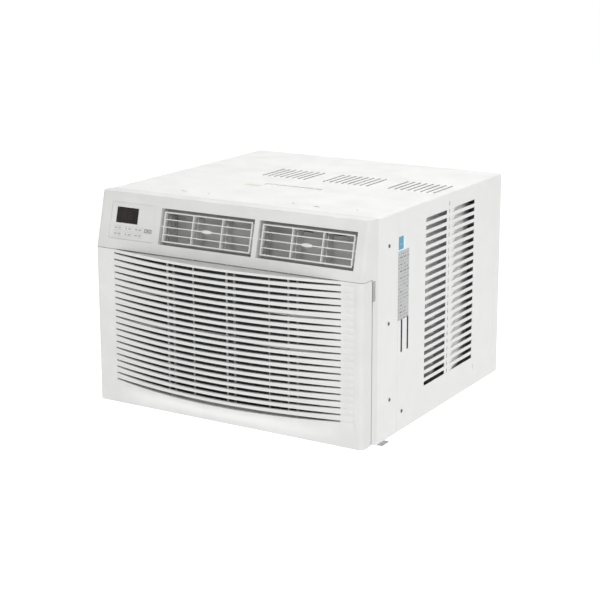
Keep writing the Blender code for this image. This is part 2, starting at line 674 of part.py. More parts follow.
def make_bezel(surface):
    """Upper panel with outlet collars and control recess, and the frame below it."""
    back = y_at(-SEAM)
    bezel = panel_prism(0.0, back)
    cut(bezel, panel_prism(PLASTIC, back + PLASTIC))
    frame_low, frame_high = PANEL_DROP, SPLIT_HEIGHT + PLASTIC / 2
    depths = (-FRAME_DEPTH, -SEAM)
    frame = inner_block((-HALF_FRONT, HALF_FRONT), depths, (frame_low, frame_high))
    hollow = HALF_FRONT - PLASTIC
    cut(frame, inner_block((-hollow, hollow), (-FRAME_DEPTH + PLASTIC, 0),
                           (frame_low + PLASTIC, frame_high + PLASTIC)))
    window = HALF_FRONT - FRAME_FLANGE
    cut(frame, inner_block((-window, window), (-FRAME_DEPTH - PLASTIC, 0),
                           (frame_low + FRAME_RAIL, frame_high + PLASTIC)))
    fuse(bezel, frame)
    slot_front = -FRAME_DEPTH - FILTER_SLOT + RUNNING
    stop = inner_block((-HALF_FRONT, FILTER_LEFT - RUNNING), (slot_front, -FRAME_DEPTH + PLASTIC / 2),
                       (FILTER_LOW, SPLIT_HEIGHT + PLASTIC / 2))
    guide = inner_block((-window, window), (slot_front, -FRAME_DEPTH + PLASTIC / 2),
                        (FILTER_LOW - RUNNING - PLASTIC, FILTER_LOW - RUNNING))
    fuse(bezel, stop, guide)
    for x in OUTLETS.values():
        outer = (x[0] - COLLAR_WALL, x[1] + COLLAR_WALL)
        collar = face_block(outer, (PLASTIC / 2, COLLAR_DEPTH),
                            (OPENING_LOW - COLLAR_WALL, OPENING_HIGH + COLLAR_WALL))
        fuse(bezel, collar)
        cut(bezel, face_block(x, (-PLASTIC, COLLAR_DEPTH + PLASTIC), (OPENING_LOW, OPENING_HIGH)))
    pad = face_block((RECESS_X[0] - PLASTIC, RECESS_X[1] + PLASTIC), (PLASTIC / 2, RECESS_PAD),
                     (RECESS_SLOPE[0] - PLASTIC, RECESS_SLOPE[1] + PLASTIC))
    fuse(bezel, pad)
    cut(bezel, face_block(RECESS_X, (-PLASTIC, RECESS_DEPTH), RECESS_SLOPE))
    ledge_x = (RECESS_X[0] + RECESS_LEDGE, RECESS_X[1] - RECESS_LEDGE)
    ledge_slope = (RECESS_SLOPE[0] + RECESS_LEDGE, RECESS_SLOPE[1] - RECESS_LEDGE)
    cut(bezel, face_block(ledge_x, (0, RECESS_PAD + PLASTIC), ledge_slope))
    for tool in louvre_bores() + vane_bores():
        cut(bezel, tool)
    for side in (-1, 1):
        fuse(bezel, ear(side))
        for depth, height in TAB_SCREWS:
            fuse(bezel, screw_tab(side, depth, height))
    inner = INSIDE - 2 * TAB_THICKNESS
    holes = [rod((side * inner, y_at(depth), z_at(height)),
                 (side * (INSIDE + TAB_THICKNESS), y_at(depth), z_at(height)),
                 SCREW_RADIUS + PIN_CLEARANCE, 12)
             for side in (-1, 1) for depth, height in TAB_SCREWS]
    cut(bezel, group(holes))
    bores = [rod((side * (EAR_X - EAR_WIDTH), *hinge_point()),
                 (side * (EAR_X + EAR_WIDTH), *hinge_point()),
                 HINGE_RADIUS + PIN_CLEARANCE, 12) for side in (-1, 1)]
    cut(bezel, group(bores))
    pocket = inner_block((HALF_FRONT - TAB_DEPTH - GAP, HALF_FRONT + PLASTIC),
                         (-FRAME_DEPTH - PLASTIC, -FRAME_DEPTH - RUNNING + TAB_REACH + 2 * RUNNING),
                         (FILTER_HIGH - TAB_HEIGHT - RUNNING, FILTER_HIGH + RUNNING))
    cut(bezel, pocket)
    finish(bezel, "front_bezel", surface)


def hinge_point():
    """Model y and z of the intake grille's hinge axis."""
    return y_at(-HINGE_AHEAD), z_at(HINGE_HEIGHT)


def ear(side):
    """Fixed ear that carries one hinge pin: a round eye and its arm."""
    centre = hinge_point()
    root = y_at(-FRAME_DEPTH + PLASTIC / 2)
    outline = arc(centre, EYE_RADIUS, EYE_OPENING, 360 - EYE_OPENING, 12)
    outline += [(root, outline[-1][1]), (root, outline[0][1])]
    return prism(outline, "X", side * EAR_X - EAR_WIDTH / 2, side * EAR_X + EAR_WIDTH / 2)


def lug(side):
    """Lug of the intake grille beside a fixed ear: a round eye on a stem."""
    middle = side * (EAR_X - EAR_WIDTH / 2 - RUNNING - LUG_WIDTH / 2)
    foot = z_at(PANEL_DROP + PLASTIC / 2)
    outline = arc(hinge_point(), EYE_RADIUS, EYE_OPENING - 90, 270 - EYE_OPENING, 12)
    outline += [(outline[-1][0], foot), (outline[0][0], foot)]
    return prism(outline, "X", middle - LUG_WIDTH / 2, middle + LUG_WIDTH / 2)


def screw_tab(side, depth, height):
    """Tongue of the panel that reaches into the cabinet for one screw."""
    outer = INSIDE
    inner = outer - TAB_THICKNESS
    x = sorted((side * outer, side * inner))
    tongue = inner_block(x, (-SEAM - PLASTIC, depth + TAB_END),
                         (height - TAB_WIDTH / 2, height + TAB_WIDTH / 2))
    root = sorted((side * (HALF_FRONT - PLASTIC / 2), side * inner))
    bridge = inner_block(root, (-SEAM - 2 * PLASTIC, -SEAM),
                         (height - TAB_WIDTH / 2, height + TAB_WIDTH / 2))
    return fuse(tongue, bridge)


def belly_depth(x, height):
    """How far the intake grille's skin stands out of the panel's flat front."""
    across = max(0.0, 1 - (x / SLOT_HALF_SPAN) ** 2)
    rise = min(1.0, max(0.0, (height - BELLY_FOOT) / (BELLY_FULL - BELLY_FOOT)))
    return GRILLE_BOW * across * math.sin(rise * math.pi / 2) ** 2


def make_belly():
    """Bowed skin of the intake grille as one closed slab."""
    top = SPLIT_HEIGHT - BELLY_TOP_GAP
    heights = [BELLY_FOOT + (BELLY_FULL - BELLY_FOOT) * step / RISE_STEPS for step in range(RISE_STEPS + 1)]
    heights.append(top)
    places = [SLOT_HALF_SPAN * (2 * step / BOW_STEPS - 1) for step in range(BOW_STEPS + 1)]
    bm = bmesh.new()
    bmesh.ops.create_grid(bm, x_segments=BOW_STEPS, y_segments=len(heights) - 1, size=1)
    for vert in bm.verts:
        column = round((vert.co.x + 1) / 2 * BOW_STEPS)
        row = round((vert.co.y + 1) / 2 * (len(heights) - 1))
        x, height = places[column], heights[row]
        vert.co = (x, y_at(-PANEL_DEPTH - belly_depth(x, height)), z_at(height))
    raised = bmesh.ops.extrude_face_region(bm, geom=list(bm.faces))["geom"]
    moved = [item for item in raised if isinstance(item, bmesh.types.BMVert)]
    bmesh.ops.translate(bm, verts=moved, vec=(0, SLAT_DEPTH, 0))
    return solid_from(bm)


def make_grille(surface):
    """Lower panel: a shallow tray with bowed slats, which swings down on its hinge."""
    half = HALF_FRONT
    rear = -FRAME_DEPTH - FILTER_SLOT
    low, high = PANEL_DROP, SPLIT_HEIGHT - SEAM
    front = y_at(-PANEL_DEPTH)
    outline = [(-half, y_at(rear)), (-half, front), (half, front), (half, y_at(rear))]
    tray = prism(outline, "Z", z_at(low), z_at(high), rounded=(1, 2), radius=EDGE_RADIUS)
    inner = half - PLASTIC
    front += PLASTIC
    outline = [(-inner, y_at(0)), (-inner, front), (inner, front), (inner, y_at(0))]
    cut(tray, prism(outline, "Z", z_at(low + PLASTIC), z_at(high - PLASTIC), rounded=(1, 2),
                    radius=EDGE_RADIUS - PLASTIC))
    window = SLOT_HALF_SPAN - BELLY_LAP
    cut(tray, inner_block((-window, window), (-PANEL_DEPTH - PLASTIC, 0), (BELLY_FULL, high + PLASTIC)))
    fuse(tray, make_belly())
    slots = []
    top = SPLIT_HEIGHT - BELLY_TOP_GAP
    for middle in repeated(SLOT_FIRST, top - TOP_SLAT - SLOT_HEIGHT / 2, SLOT_PITCH):
        slots.append(inner_block((-SLOT_HALF_SPAN, SLOT_HALF_SPAN),
                                 (-PANEL_DEPTH - GRILLE_BOW - PLASTIC, -PANEL_DEPTH + 2 * SLAT_DEPTH),
                                 (middle - SLOT_HEIGHT / 2, middle + SLOT_HEIGHT / 2)))
    cut(tray, group(slots))
    for place in (-RIB_PITCH, 0.0, RIB_PITCH):
        skin = -PANEL_DEPTH - belly_depth(place, top)
        fuse(tray, inner_block((place - RIB_WIDTH / 2, place + RIB_WIDTH / 2),
                               (skin + SLAT_DEPTH / 3, skin + 1.5 * SLAT_DEPTH),
                               (SLOT_FIRST - SLOT_HEIGHT, top - GAP)))
    side_relief = inner_block((-half - PLASTIC, half + PLASTIC), (-HINGE_AHEAD + HINGE_RELIEF, 0),
                              (0, HINGE_HEIGHT - 2 * PIN_CLEARANCE))
    cut(tray, side_relief)
    y, z = hinge_point()
    for side in (-1, 1):
        fuse(tray, lug(side))
        cut(tray, block(spread(side * EAR_X, EAR_WIDTH, RUNNING),
                        (y - 2 * EYE_RADIUS, y_at(0)), (z_at(0), z)))
    bores = [rod((side * (EAR_X - 2 * EAR_WIDTH - LUG_WIDTH), y, z), (side * EAR_X, y, z),
                 HINGE_RADIUS + PIN_CLEARANCE, 12) for side in (-1, 1)]
    cut(tray, group(bores))
    finish(tray, "intake_grille", surface, pivot=(0, y, z))


def make_hinge_pins(surface):
    """Steel pins through the fixed ears and the grille's lugs."""
    y, z = hinge_point()
    for side, side_name in ((-1, "left"), (1, "right")):
        outer = side * (EAR_X + EAR_WIDTH / 2 + 2 * RUNNING)
        inner = side * (EAR_X - EAR_WIDTH / 2 - LUG_WIDTH - 2 * RUNNING)
        finish(rod((inner, y, z), (outer, y, z), HINGE_RADIUS, 12), f"hinge_pin_{side_name}", surface)


def make_filter(surface):
    """Filter frame with its mesh and a pull tab that folds round the panel's side."""
    front = -FRAME_DEPTH - FILTER_SLOT + RUNNING
    back = front + FILTER_THICKNESS
    right = HALF_FRONT
    frame = inner_block((FILTER_LEFT, right), (front, back), (FILTER_LOW, FILTER_HIGH))
    middle = (front + back) / 2
    width = (right - FILTER_BORDER - FILTER_LEFT) / FILTER_CELLS[0]
    height = (FILTER_HIGH - FILTER_LOW) / FILTER_CELLS[1]
    pockets = []
    for column in range(FILTER_CELLS[0]):
        for row in range(FILTER_CELLS[1]):
            left = FILTER_LEFT + 2 * FILTER_BAR + column * width
            low = FILTER_LOW + 2 * FILTER_BAR + row * height
            x = (left, left + width - 2 * FILTER_BAR)
            z = (low, low + height - 4 * FILTER_BAR)
            pockets.append(inner_block(x, (front - PLASTIC, middle - FILTER_MESH / 2), z))
            pockets.append(inner_block(x, (middle + FILTER_MESH / 2, back + PLASTIC), z))
    cut(frame, group(pockets))
    tab = inner_block((HALF_FRONT - TAB_DEPTH, HALF_FRONT), (front, back + TAB_REACH),
                      (FILTER_HIGH - TAB_HEIGHT, FILTER_HIGH))
    fuse(frame, tab)
    finish(frame, "air_filter", surface, pivot=(0, y_at(middle), z_at((FILTER_LOW + FILTER_HIGH) / 2)))


# ---- Louvres and vanes ----
def louvre_bores():
    """Bearing holes for the louvre frames' pins in the collars' end walls."""
    tools = []
    for x in OUTLETS.values():
        tools.append(face_rod((x[0] - 2 * COLLAR_WALL, LOUVRE_AXIS_DEPTH, LOUVRE_AXIS_SLOPE),
                              (x[1] + 2 * COLLAR_WALL, LOUVRE_AXIS_DEPTH, LOUVRE_AXIS_SLOPE),
                              LOUVRE_PIN + PIN_CLEARANCE))
    return tools


def vane_places(x):
    """The two vane positions of an outlet: behind the louvre frame's uprights."""
    left, right = x[0] + LOUVRE_MARGIN, x[1] - LOUVRE_MARGIN
    return [left + (right - left) * (column + 1) / LOUVRE_COLUMNS for column in range(LOUVRE_COLUMNS - 1)]


def vane_bores():
    """Bearing holes for the vanes' pins in the collars' upper and lower walls."""
    tools = []
    for x in OUTLETS.values():
        for place in vane_places(x):
            tools.append(face_rod((place, VANE_AXIS_DEPTH, OPENING_LOW - 2 * COLLAR_WALL),
                                  (place, VANE_AXIS_DEPTH, OPENING_HIGH + 2 * COLLAR_WALL),
                                  VANE_PIN + PIN_CLEARANCE))
    return tools


def make_louvre(x, side_name, surface):
    """Frame of thin bars that tilts up and down, with a grip on its middle bar."""
    left, right = x[0] + LOUVRE_MARGIN, x[1] - LOUVRE_MARGIN
    depths = (LOUVRE_AHEAD, LOUVRE_AHEAD + LOUVRE_DEPTH)
    frame = face_block((left, right), depths, (LOUVRE_LOW, LOUVRE_HIGH))
    width = (right - left) / LOUVRE_COLUMNS
    height = (LOUVRE_HIGH - LOUVRE_LOW) / LOUVRE_ROWS
    cells = []
    for column in range(LOUVRE_COLUMNS):
        for row in range(LOUVRE_ROWS):
            x_low = left + (LOUVRE_BORDER if column == 0 else column * width + LOUVRE_BAR / 2)
            x_high = right - LOUVRE_BORDER if column == LOUVRE_COLUMNS - 1 else \
                left + (column + 1) * width - LOUVRE_BAR / 2
            low = LOUVRE_LOW + (LOUVRE_BORDER if row == 0 else row * height + LOUVRE_BAR / 2)
            high = LOUVRE_HIGH - LOUVRE_BORDER if row == LOUVRE_ROWS - 1 else \
                LOUVRE_LOW + (row + 1) * height - LOUVRE_BAR / 2
            cells.append(face_block((x_low, x_high), (0, 2 * LOUVRE_DEPTH), (low, high)))
    cut(frame, group(cells))
    middle = (left + right) / 2
    grip = face_block((middle - GRIP_WIDTH / 2, middle + GRIP_WIDTH / 2),
                      (LOUVRE_AHEAD - GRIP_PROUD, LOUVRE_AHEAD + LOUVRE_DEPTH / 3),
                      (LOUVRE_AXIS_SLOPE - GRIP_HEIGHT / 2, LOUVRE_AXIS_SLOPE + GRIP_HEIGHT / 2))
    fuse(frame, grip)
    reach = COLLAR_WALL - GAP
    for start, end in ((x[0] - reach, left + LOUVRE_BORDER / 2), (right - LOUVRE_BORDER / 2, x[1] + reach)):
        fuse(frame, face_rod((start, LOUVRE_AXIS_DEPTH, LOUVRE_AXIS_SLOPE),
                             (end, LOUVRE_AXIS_DEPTH, LOUVRE_AXIS_SLOPE), LOUVRE_PIN))
    pivot = FACE @ Vector((middle, LOUVRE_AXIS_DEPTH, LOUVRE_AXIS_SLOPE))
    finish(frame, f"louvre_frame_{side_name}", surface, pivot=pivot)


def make_vanes(x, side_name, surface):
    """Upright vanes that steer left and right, and the bar that links them."""
    places = vane_places(x)
    for number, place in enumerate(places, 1):
        half = VANE_THICKNESS / 2
        blade = face_block((place - half, place + half), (VANE_FRONT, VANE_BACK), (VANE_LOW, VANE_HIGH))
        reach = COLLAR_WALL - GAP
        fuse(blade,
             face_rod((place, VANE_AXIS_DEPTH, OPENING_LOW - reach),
                      (place, VANE_AXIS_DEPTH, VANE_LOW + VANE_PIN), VANE_PIN),
             face_rod((place, VANE_AXIS_DEPTH, VANE_HIGH - VANE_PIN),
                      (place, VANE_AXIS_DEPTH, OPENING_HIGH + reach), VANE_PIN),
             face_rod((place, VANE_AXIS_DEPTH + LINK_ARM, LINK_LOW),
                      (place, VANE_AXIS_DEPTH + LINK_ARM, VANE_LOW + VANE_PIN), LINK_PIN))
        pivot = FACE @ Vector((place, VANE_AXIS_DEPTH, (VANE_LOW + VANE_HIGH) / 2))
        finish(blade, f"vane_{side_name}_{number}", surface, pivot=pivot)
    link_depth = VANE_AXIS_DEPTH + LINK_ARM
    end = 4 * LINK_PIN
    bar = face_block((places[0] - end, places[-1] + end),
                     (link_depth - 3 * LINK_PIN, link_depth + 3 * LINK_PIN), (LINK_LOW + GAP, LINK_HIGH))
    wide = LINK_PIN + PIN_CLEARANCE
    holes = [face_block((place - wide, place + wide), (link_depth - 2 * wide, link_depth + wide),
                        (LINK_LOW - LINK_PIN, LINK_HIGH + LINK_PIN)) for place in places]
    cut(bar, group(holes))
    pivot = FACE @ Vector(((places[0] + places[-1]) / 2, link_depth, (LINK_LOW + LINK_HIGH) / 2))
    finish(bar, f"vane_link_{side_name}", surface, pivot=pivot)


# ---- Controls ----
def key_places():
    """Name, middle and size of every key on the leaning face."""
    keys = []
    for row, slope in enumerate(reversed(KEY_ROWS)):
        for column in range(KEY_COUNT):
            x = RECESS_X[0] + KEY_SIDE + column * KEY_PITCH
            keys.append((f"key_{row * KEY_COUNT + column + 1}", (x, slope), KEY_SIZE))
    keys.append(("power_key", (RECESS_X[1] - POWER_KEY_SIDE, POWER_KEY_SLOPE), POWER_KEY_SIZE))
    return keys


def make_controls(finishes):
    """Control fascia with display window, its keys and the board behind them."""
    back = FASCIA_FRONT + FASCIA
    plate = face_block((RECESS_X[0] + GAP, RECESS_X[1] - GAP), (FASCIA_FRONT, back),
                       (RECESS_SLOPE[0] + GAP, RECESS_SLOPE[1] - GAP))
    holes = [face_block(DISPLAY_X, (0, 2 * back), DISPLAY_SLOPE)]
    for _, middle, size in key_places():
        holes.append(face_block(spread(middle[0], size[0], GAP), (0, 2 * back),
                                spread(middle[1], size[1], GAP)))
    cut(plate, group(holes))
    finish(plate, "control_fascia", finishes["white"])
    display = face_block((DISPLAY_X[0] + GAP, DISPLAY_X[1] - GAP), (FASCIA_FRONT - GAP, BOARD_DEPTH - GAP),
                         (DISPLAY_SLOPE[0] + GAP, DISPLAY_SLOPE[1] - GAP))
    finish(display, "display_window", finishes["dark"])
    for name, middle, size in key_places():
        cap_depths = (FASCIA_FRONT - KEY_PROUD, back + GAP + KEY_FLANGE / 2)
        cap = face_block(spread(middle[0], size[0]), cap_depths, spread(middle[1], size[1]))
        lip = GAP + KEY_FLANGE / 2
        flange = face_block(spread(middle[0], size[0], lip), (back + GAP, back + GAP + KEY_FLANGE),
                            spread(middle[1], size[1], lip))
        fuse(cap, flange)
        surface = finishes["key"] if name == "power_key" else finishes["white"]
        finish(cap, name, surface, pivot=FACE @ Vector((middle[0], cap_depths[0], middle[1])))
    edge = RECESS_LEDGE / 2
    board = face_block((RECESS_X[0] + edge, RECESS_X[1] - edge), (BOARD_DEPTH, BOARD_DEPTH + BOARD),
                       (RECESS_SLOPE[0] + edge, RECESS_SLOPE[1] - edge))
    switch_front = back + 2 * GAP + KEY_FLANGE + KEY_TRAVEL
    switches = [face_block(spread(middle[0], SWITCH_SIZE), (switch_front, BOARD_DEPTH + BOARD / 2),
                           spread(middle[1], SWITCH_SIZE)) for _, middle, _ in key_places()]
    fuse(board, group(switches))
    finish(board, "control_board", finishes["board"])
    make_control_box(finishes)


def make_control_box(finishes):
    """Steel box for the mains parts, open to the front, with the run capacitor in it."""
    x = (-INSIDE + BOX_SIDE, -INSIDE + BOX_SIDE + BOX_WIDTH)
    box = inner_block(x, BOX_DEPTHS, BOX_HEIGHTS)
    cut(box, inner_block((x[0] + SHEET, x[1] - SHEET), (BOX_DEPTHS[0] - SHEET, BOX_DEPTHS[1] - SHEET),
                         (BOX_HEIGHTS[0] + SHEET, BOX_HEIGHTS[1] - SHEET)))
    finish(box, "control_box", finishes["zinc"])
    shoulder = CAPACITOR_HEIGHT - CAPACITOR_RIM
    profile = [(0, 0), (CAPACITOR_RADIUS, 0), (CAPACITOR_RADIUS, shoulder),
               (CAPACITOR_RADIUS - CAPACITOR_RIM, CAPACITOR_HEIGHT), (0, CAPACITOR_HEIGHT)]
    place = (sum(x) / 2, y_at(sum(BOX_DEPTHS) / 2), z_at(BOX_HEIGHTS[0]) + SHEET + GAP)
    finish(turned(profile, place, "Z", 24), "run_capacitor", finishes["aluminium"])


# ---- Air path ----
def make_coil(name, x, depths, heights, surface):
    """Finned coil block between two end plates."""
    coil = inner_block((x[0] + END_PLATE, x[1] - END_PLATE), depths, heights)
    for end in x:
        inward = END_PLATE if end == x[0] else -END_PLATE
        ends = sorted((end, end + inward * 1.5))
        fuse(coil, inner_block(ends, (depths[0] - PLATE_EDGE, depths[1] + PLATE_EDGE), heights))
    finish(coil, name, surface)


def make_drip_tray(surface):
    """Foam tray that catches the evaporator's water."""
    x = (COIL_X[0] - TRAY_MARGIN[0], COIL_X[1] + TRAY_MARGIN[0])
    depths = (COIL_DEPTHS[0] - TRAY_MARGIN[1], COIL_DEPTHS[1] + TRAY_MARGIN[1])
    low = PAN_SHEET + GAP
    tray = inner_block(x, depths, (low, low + TRAY_HEIGHT))
    floor = COIL_HEIGHTS[0] - GAP
    cut(tray, inner_block((x[0] + TRAY_WALL, x[1] - TRAY_WALL),
                          (depths[0] + TRAY_WALL / 2, depths[1] - TRAY_WALL / 2),
                          (floor, low + TRAY_HEIGHT + TRAY_WALL)))
    finish(tray, "drip_tray", surface)


def fan_axis(depth):
    """Point of the fan axis at a depth behind the seam."""
    return FAN_X, y_at(depth), z_at(FAN_HEIGHT)


def make_blower_housing(surface):
    """Scroll round the blower wheel: round inlet in front, open at its top."""
    x = (FAN_X - HOUSING_HALF, FAN_X + HOUSING_HALF)
    top = DUCT_HEIGHTS[0] - GAP
    heights = (FAN_HEIGHT - HOUSING_HALF, top)
    housing = inner_block(x, HOUSING_DEPTHS, heights)
    hollow = (HOUSING_DEPTHS[0] + HOUSING_WALL, HOUSING_DEPTHS[1] - HOUSING_WALL)
    scroll = BLOWER_RADIUS + SCROLL_CLEARANCE
    cavity = rod(fan_axis(hollow[0]), fan_axis(hollow[1]), scroll, 40)
    throat = inner_block((FAN_X - scroll, FAN_X + scroll), hollow, (FAN_HEIGHT, top + HOUSING_WALL))
    fuse(cavity, throat)
    cut(housing, cavity)
    cut(housing, rod(fan_axis(HOUSING_DEPTHS[0] - HOUSING_WALL), fan_axis(hollow[0] + HOUSING_WALL),
                     BLOWER_INNER + INLET_OVER, 40))
    cut(housing, rod(fan_axis(hollow[1] - HOUSING_WALL), fan_axis(HOUSING_DEPTHS[1] + HOUSING_WALL),
                     4 * SHAFT_RADIUS, 24))
    finish(housing, "blower_housing", surface)


def make_duct(surface):
    """Upper duct from the scroll forward to both outlet collars."""
    beside = 2 * COLLAR_WALL + HOUSING_WALL
    x = (OUTLETS["left"][0] - beside, OUTLETS["right"][1] + beside)
    depths = (DUCT_FRONT, HOUSING_DEPTHS[1])
    duct = inner_block(x, depths, DUCT_HEIGHTS)
    wall = HOUSING_WALL
    cut(duct, inner_block((x[0] + wall, x[1] - wall), (depths[0] - wall, depths[1] - wall),
                          (DUCT_HEIGHTS[0] + wall, DUCT_HEIGHTS[1] - wall)))
    scroll = BLOWER_RADIUS + SCROLL_CLEARANCE
    cut(duct, inner_block((FAN_X - scroll, FAN_X + scroll),
                          (HOUSING_DEPTHS[0] + wall, HOUSING_DEPTHS[1] - wall),
                          (DUCT_HEIGHTS[0] - wall, DUCT_HEIGHTS[0] + 2 * wall)))
    finish(duct, "air_duct", surface)


def make_bulkhead(surface):
    """Steel wall between room side and outdoor side."""
    wall = inner_block((-INSIDE + PAN_SHEET + GAP, INSIDE - PAN_SHEET - GAP),
                       (BULKHEAD_DEPTH, BULKHEAD_DEPTH + BULKHEAD),
                       (PAN_SHEET + GAP, CABINET_HEIGHT - SHEET - GAP - CABINET_BEND))
    ends = (BULKHEAD_DEPTH - BULKHEAD, BULKHEAD_DEPTH + 2 * BULKHEAD)
    cut(wall, rod(fan_axis(ends[0]), fan_axis(ends[1]), 3 * SHAFT_RADIUS, 24))
    for level in (CAPILLARY_LEVEL, SUCTION_LEVEL):
        cut(wall, inner_block(spread(PIPE_X, PIPE_HOLE[0]), ends, spread(level, PIPE_HOLE[1])))
    finish(wall, "bulkhead", surface)


def make_blower_wheel(surface):
    """Forward-curved blower wheel: back disc with hub, blades and front ring."""
    front, back = BLOWER_DEPTHS
    bore = SHAFT_RADIUS + GAP
    web = BLOWER_HUB_LENGTH - BLOWER_DISC
    wheel = turned([(bore, 0), (bore, BLOWER_HUB_LENGTH), (BLOWER_RADIUS, BLOWER_HUB_LENGTH),
                    (BLOWER_RADIUS, web), (BLOWER_HUB, web), (BLOWER_HUB, 0)],
                   fan_axis(back - BLOWER_HUB_LENGTH), "Y", 32)
    ring = turned([(BLOWER_INNER, 0), (BLOWER_INNER, BLOWER_DISC), (BLOWER_RADIUS, BLOWER_DISC),
                   (BLOWER_RADIUS, 0)], fan_axis(front), "Y", 32)
    middle = (BLOWER_RADIUS + BLOWER_INNER) / 2
    turn = Matrix.Rotation(math.radians(BLOWER_BLADE_TURN), 4, "Y")
    blades = []
    for number in range(BLOWER_BLADES):
        around = Matrix.Rotation(math.tau * number / BLOWER_BLADES, 4, "Y")
        blade = block(spread(0, BLOWER_BLADE), (front + BLOWER_DISC / 2, back - BLOWER_DISC / 2),
                      spread(0, BLOWER_BLADE_CHORD))
        blade.data.transform(Matrix.Translation(fan_axis(0)) @ around
                             @ Matrix.Translation((0, 0, middle)) @ turn)
        blades.append(blade)
    fuse(wheel, group(blades))
    fuse(wheel, ring)
    finish(wheel, "blower_wheel", surface, pivot=fan_axis(back))


def make_condenser_fan(surface):
    """Axial fan with a slinger ring round its blades."""
    front, back = FAN_DEPTHS
    bore = SHAFT_RADIUS + GAP
    fan = turned([(bore, 0), (FAN_HUB, 0), (FAN_HUB, FAN_LENGTH), (bore, FAN_LENGTH)],
                 fan_axis(front), "Y", 24)
    reach = (FAN_HUB * 0.8, FAN_RADIUS - SLINGER / 2)
    turn = Matrix.Rotation(math.radians(FAN_BLADE_TURN), 4, "Z")
    for number in range(FAN_BLADES):
        around = Matrix.Rotation(math.tau * number / FAN_BLADES, 4, "Y")
        blade = block(spread(0, FAN_BLADE_CHORD), spread(0, FAN_BLADE), reach)
        blade.data.transform(Matrix.Translation(fan_axis((front + back) / 2)) @ around @ turn)
        fuse(fan, blade)
    start, end = spread(FAN_LENGTH / 2, SLINGER_LENGTH)
    ring = turned([(FAN_RADIUS - SLINGER, start), (FAN_RADIUS, start), (FAN_RADIUS, end),
                   (FAN_RADIUS - SLINGER, end)], fan_axis(front), "Y", 40)
    fuse(fan, ring)
    finish(fan, "condenser_fan", surface, pivot=fan_axis(back))


def make_motor(finishes):
    """Fan motor, its through shaft and the bracket it stands on."""
    front, back = MOTOR_DEPTHS
    length = back - front
    bore = SHAFT_RADIUS + GAP
    boss, boss_length = MOTOR_BOSS
    shoulder = MOTOR_RADIUS - MOTOR_CHAMFER
    motor = turned([(bore, -boss_length), (boss, -boss_length), (boss, 0), (shoulder, 0),
                    (MOTOR_RADIUS, MOTOR_CHAMFER), (MOTOR_RADIUS, length - MOTOR_CHAMFER),
                    (shoulder, length), (boss, length), (boss, length + boss_length),
                    (bore, length + boss_length)], fan_axis(front), "Y", 32)
    finish(motor, "fan_motor", finishes["motor"])
    shaft = rod(fan_axis(SHAFT_DEPTHS[0]), fan_axis(SHAFT_DEPTHS[1]), SHAFT_RADIUS, 16)
    finish(shaft, "motor_shaft", finishes["motor"], pivot=fan_axis(front))
    plate_front = front - boss_length - GAP - BRACKET_SHEET
    low = PAN_SHEET + GAP
    plate = inner_block(spread(FAN_X, 2 * BRACKET_HALF), (plate_front, plate_front + BRACKET_SHEET),
                        (low, FAN_HEIGHT + BRACKET_HALF))
    cut(plate, rod(fan_axis(plate_front - SHEET), fan_axis(plate_front + 2 * BRACKET_SHEET),
                   2 * SHAFT_RADIUS, 24))
    channel = inner_block(spread(FAN_X, 2 * BRACKET_HALF), (plate_front, back),
                          (low, FAN_HEIGHT - MOTOR_RADIUS - 2 * GAP))
    cut(channel, inner_block(spread(FAN_X, 2 * BRACKET_HALF, -BRACKET_SHEET),
                             (plate_front + BRACKET_SHEET, back + BRACKET_SHEET),
                             (low + BRACKET_SHEET, FAN_HEIGHT)))
    fuse(plate, channel)
    finish(plate, "motor_bracket", finishes["zinc"])


def make_shroud(surface):
    """Plate with a ring that closes round the axial fan, ahead of the condenser."""
    front, back = SHROUD_DEPTHS
    shroud = inner_block(SHROUD_X, (back - SHROUD_SHEET, back), (PAN_SHEET + GAP, CONDENSER_HEIGHTS[1]))
    hole = FAN_RADIUS + SHROUD_CLEARANCE
    inner = hole - SHROUD_SHEET / 2
    outer = hole + SHROUD_SHEET
    ring = turned([(inner, 0), (outer, 0), (outer, back - front), (inner, back - front)],
                  fan_axis(front), "Y", 48)
    fuse(shroud, ring)
    cut(shroud, rod(fan_axis(front - SHROUD_SHEET), fan_axis(back + SHROUD_SHEET), hole, 48))
    finish(shroud, "fan_shroud", surface)


def make_guard(surface):
    """Slotted steel guard across the outdoor end."""
    back = CABINET_DEPTH - PAN_END_GAP - PAN_SHEET - GAP
    ends = (back - GUARD, back)
    half = INSIDE - PAN_SHEET - GAP
    heights = (PAN_SHEET + GAP, CABINET_HEIGHT - SHEET - GAP - CABINET_BEND)
    guard = inner_block((-half, half), ends, heights)
    width = (2 * half - 2 * GUARD_RIM + GUARD_BAR) / GUARD_COLUMNS
    height = (heights[1] - heights[0] - 2 * GUARD_RIM + GUARD_BAR) / GUARD_ROWS
    openings = []
    for column in range(GUARD_COLUMNS):
        for row in range(GUARD_ROWS):
            left = -half + GUARD_RIM + column * width
            low = heights[0] + GUARD_RIM + row * height
            openings.append(inner_block((left, left + width - GUARD_BAR), (ends[0] - GUARD, ends[1] + GUARD),
                                        (low, low + height - GUARD_BAR)))
    cut(guard, group(openings))
    finish(guard, "rear_guard", surface)


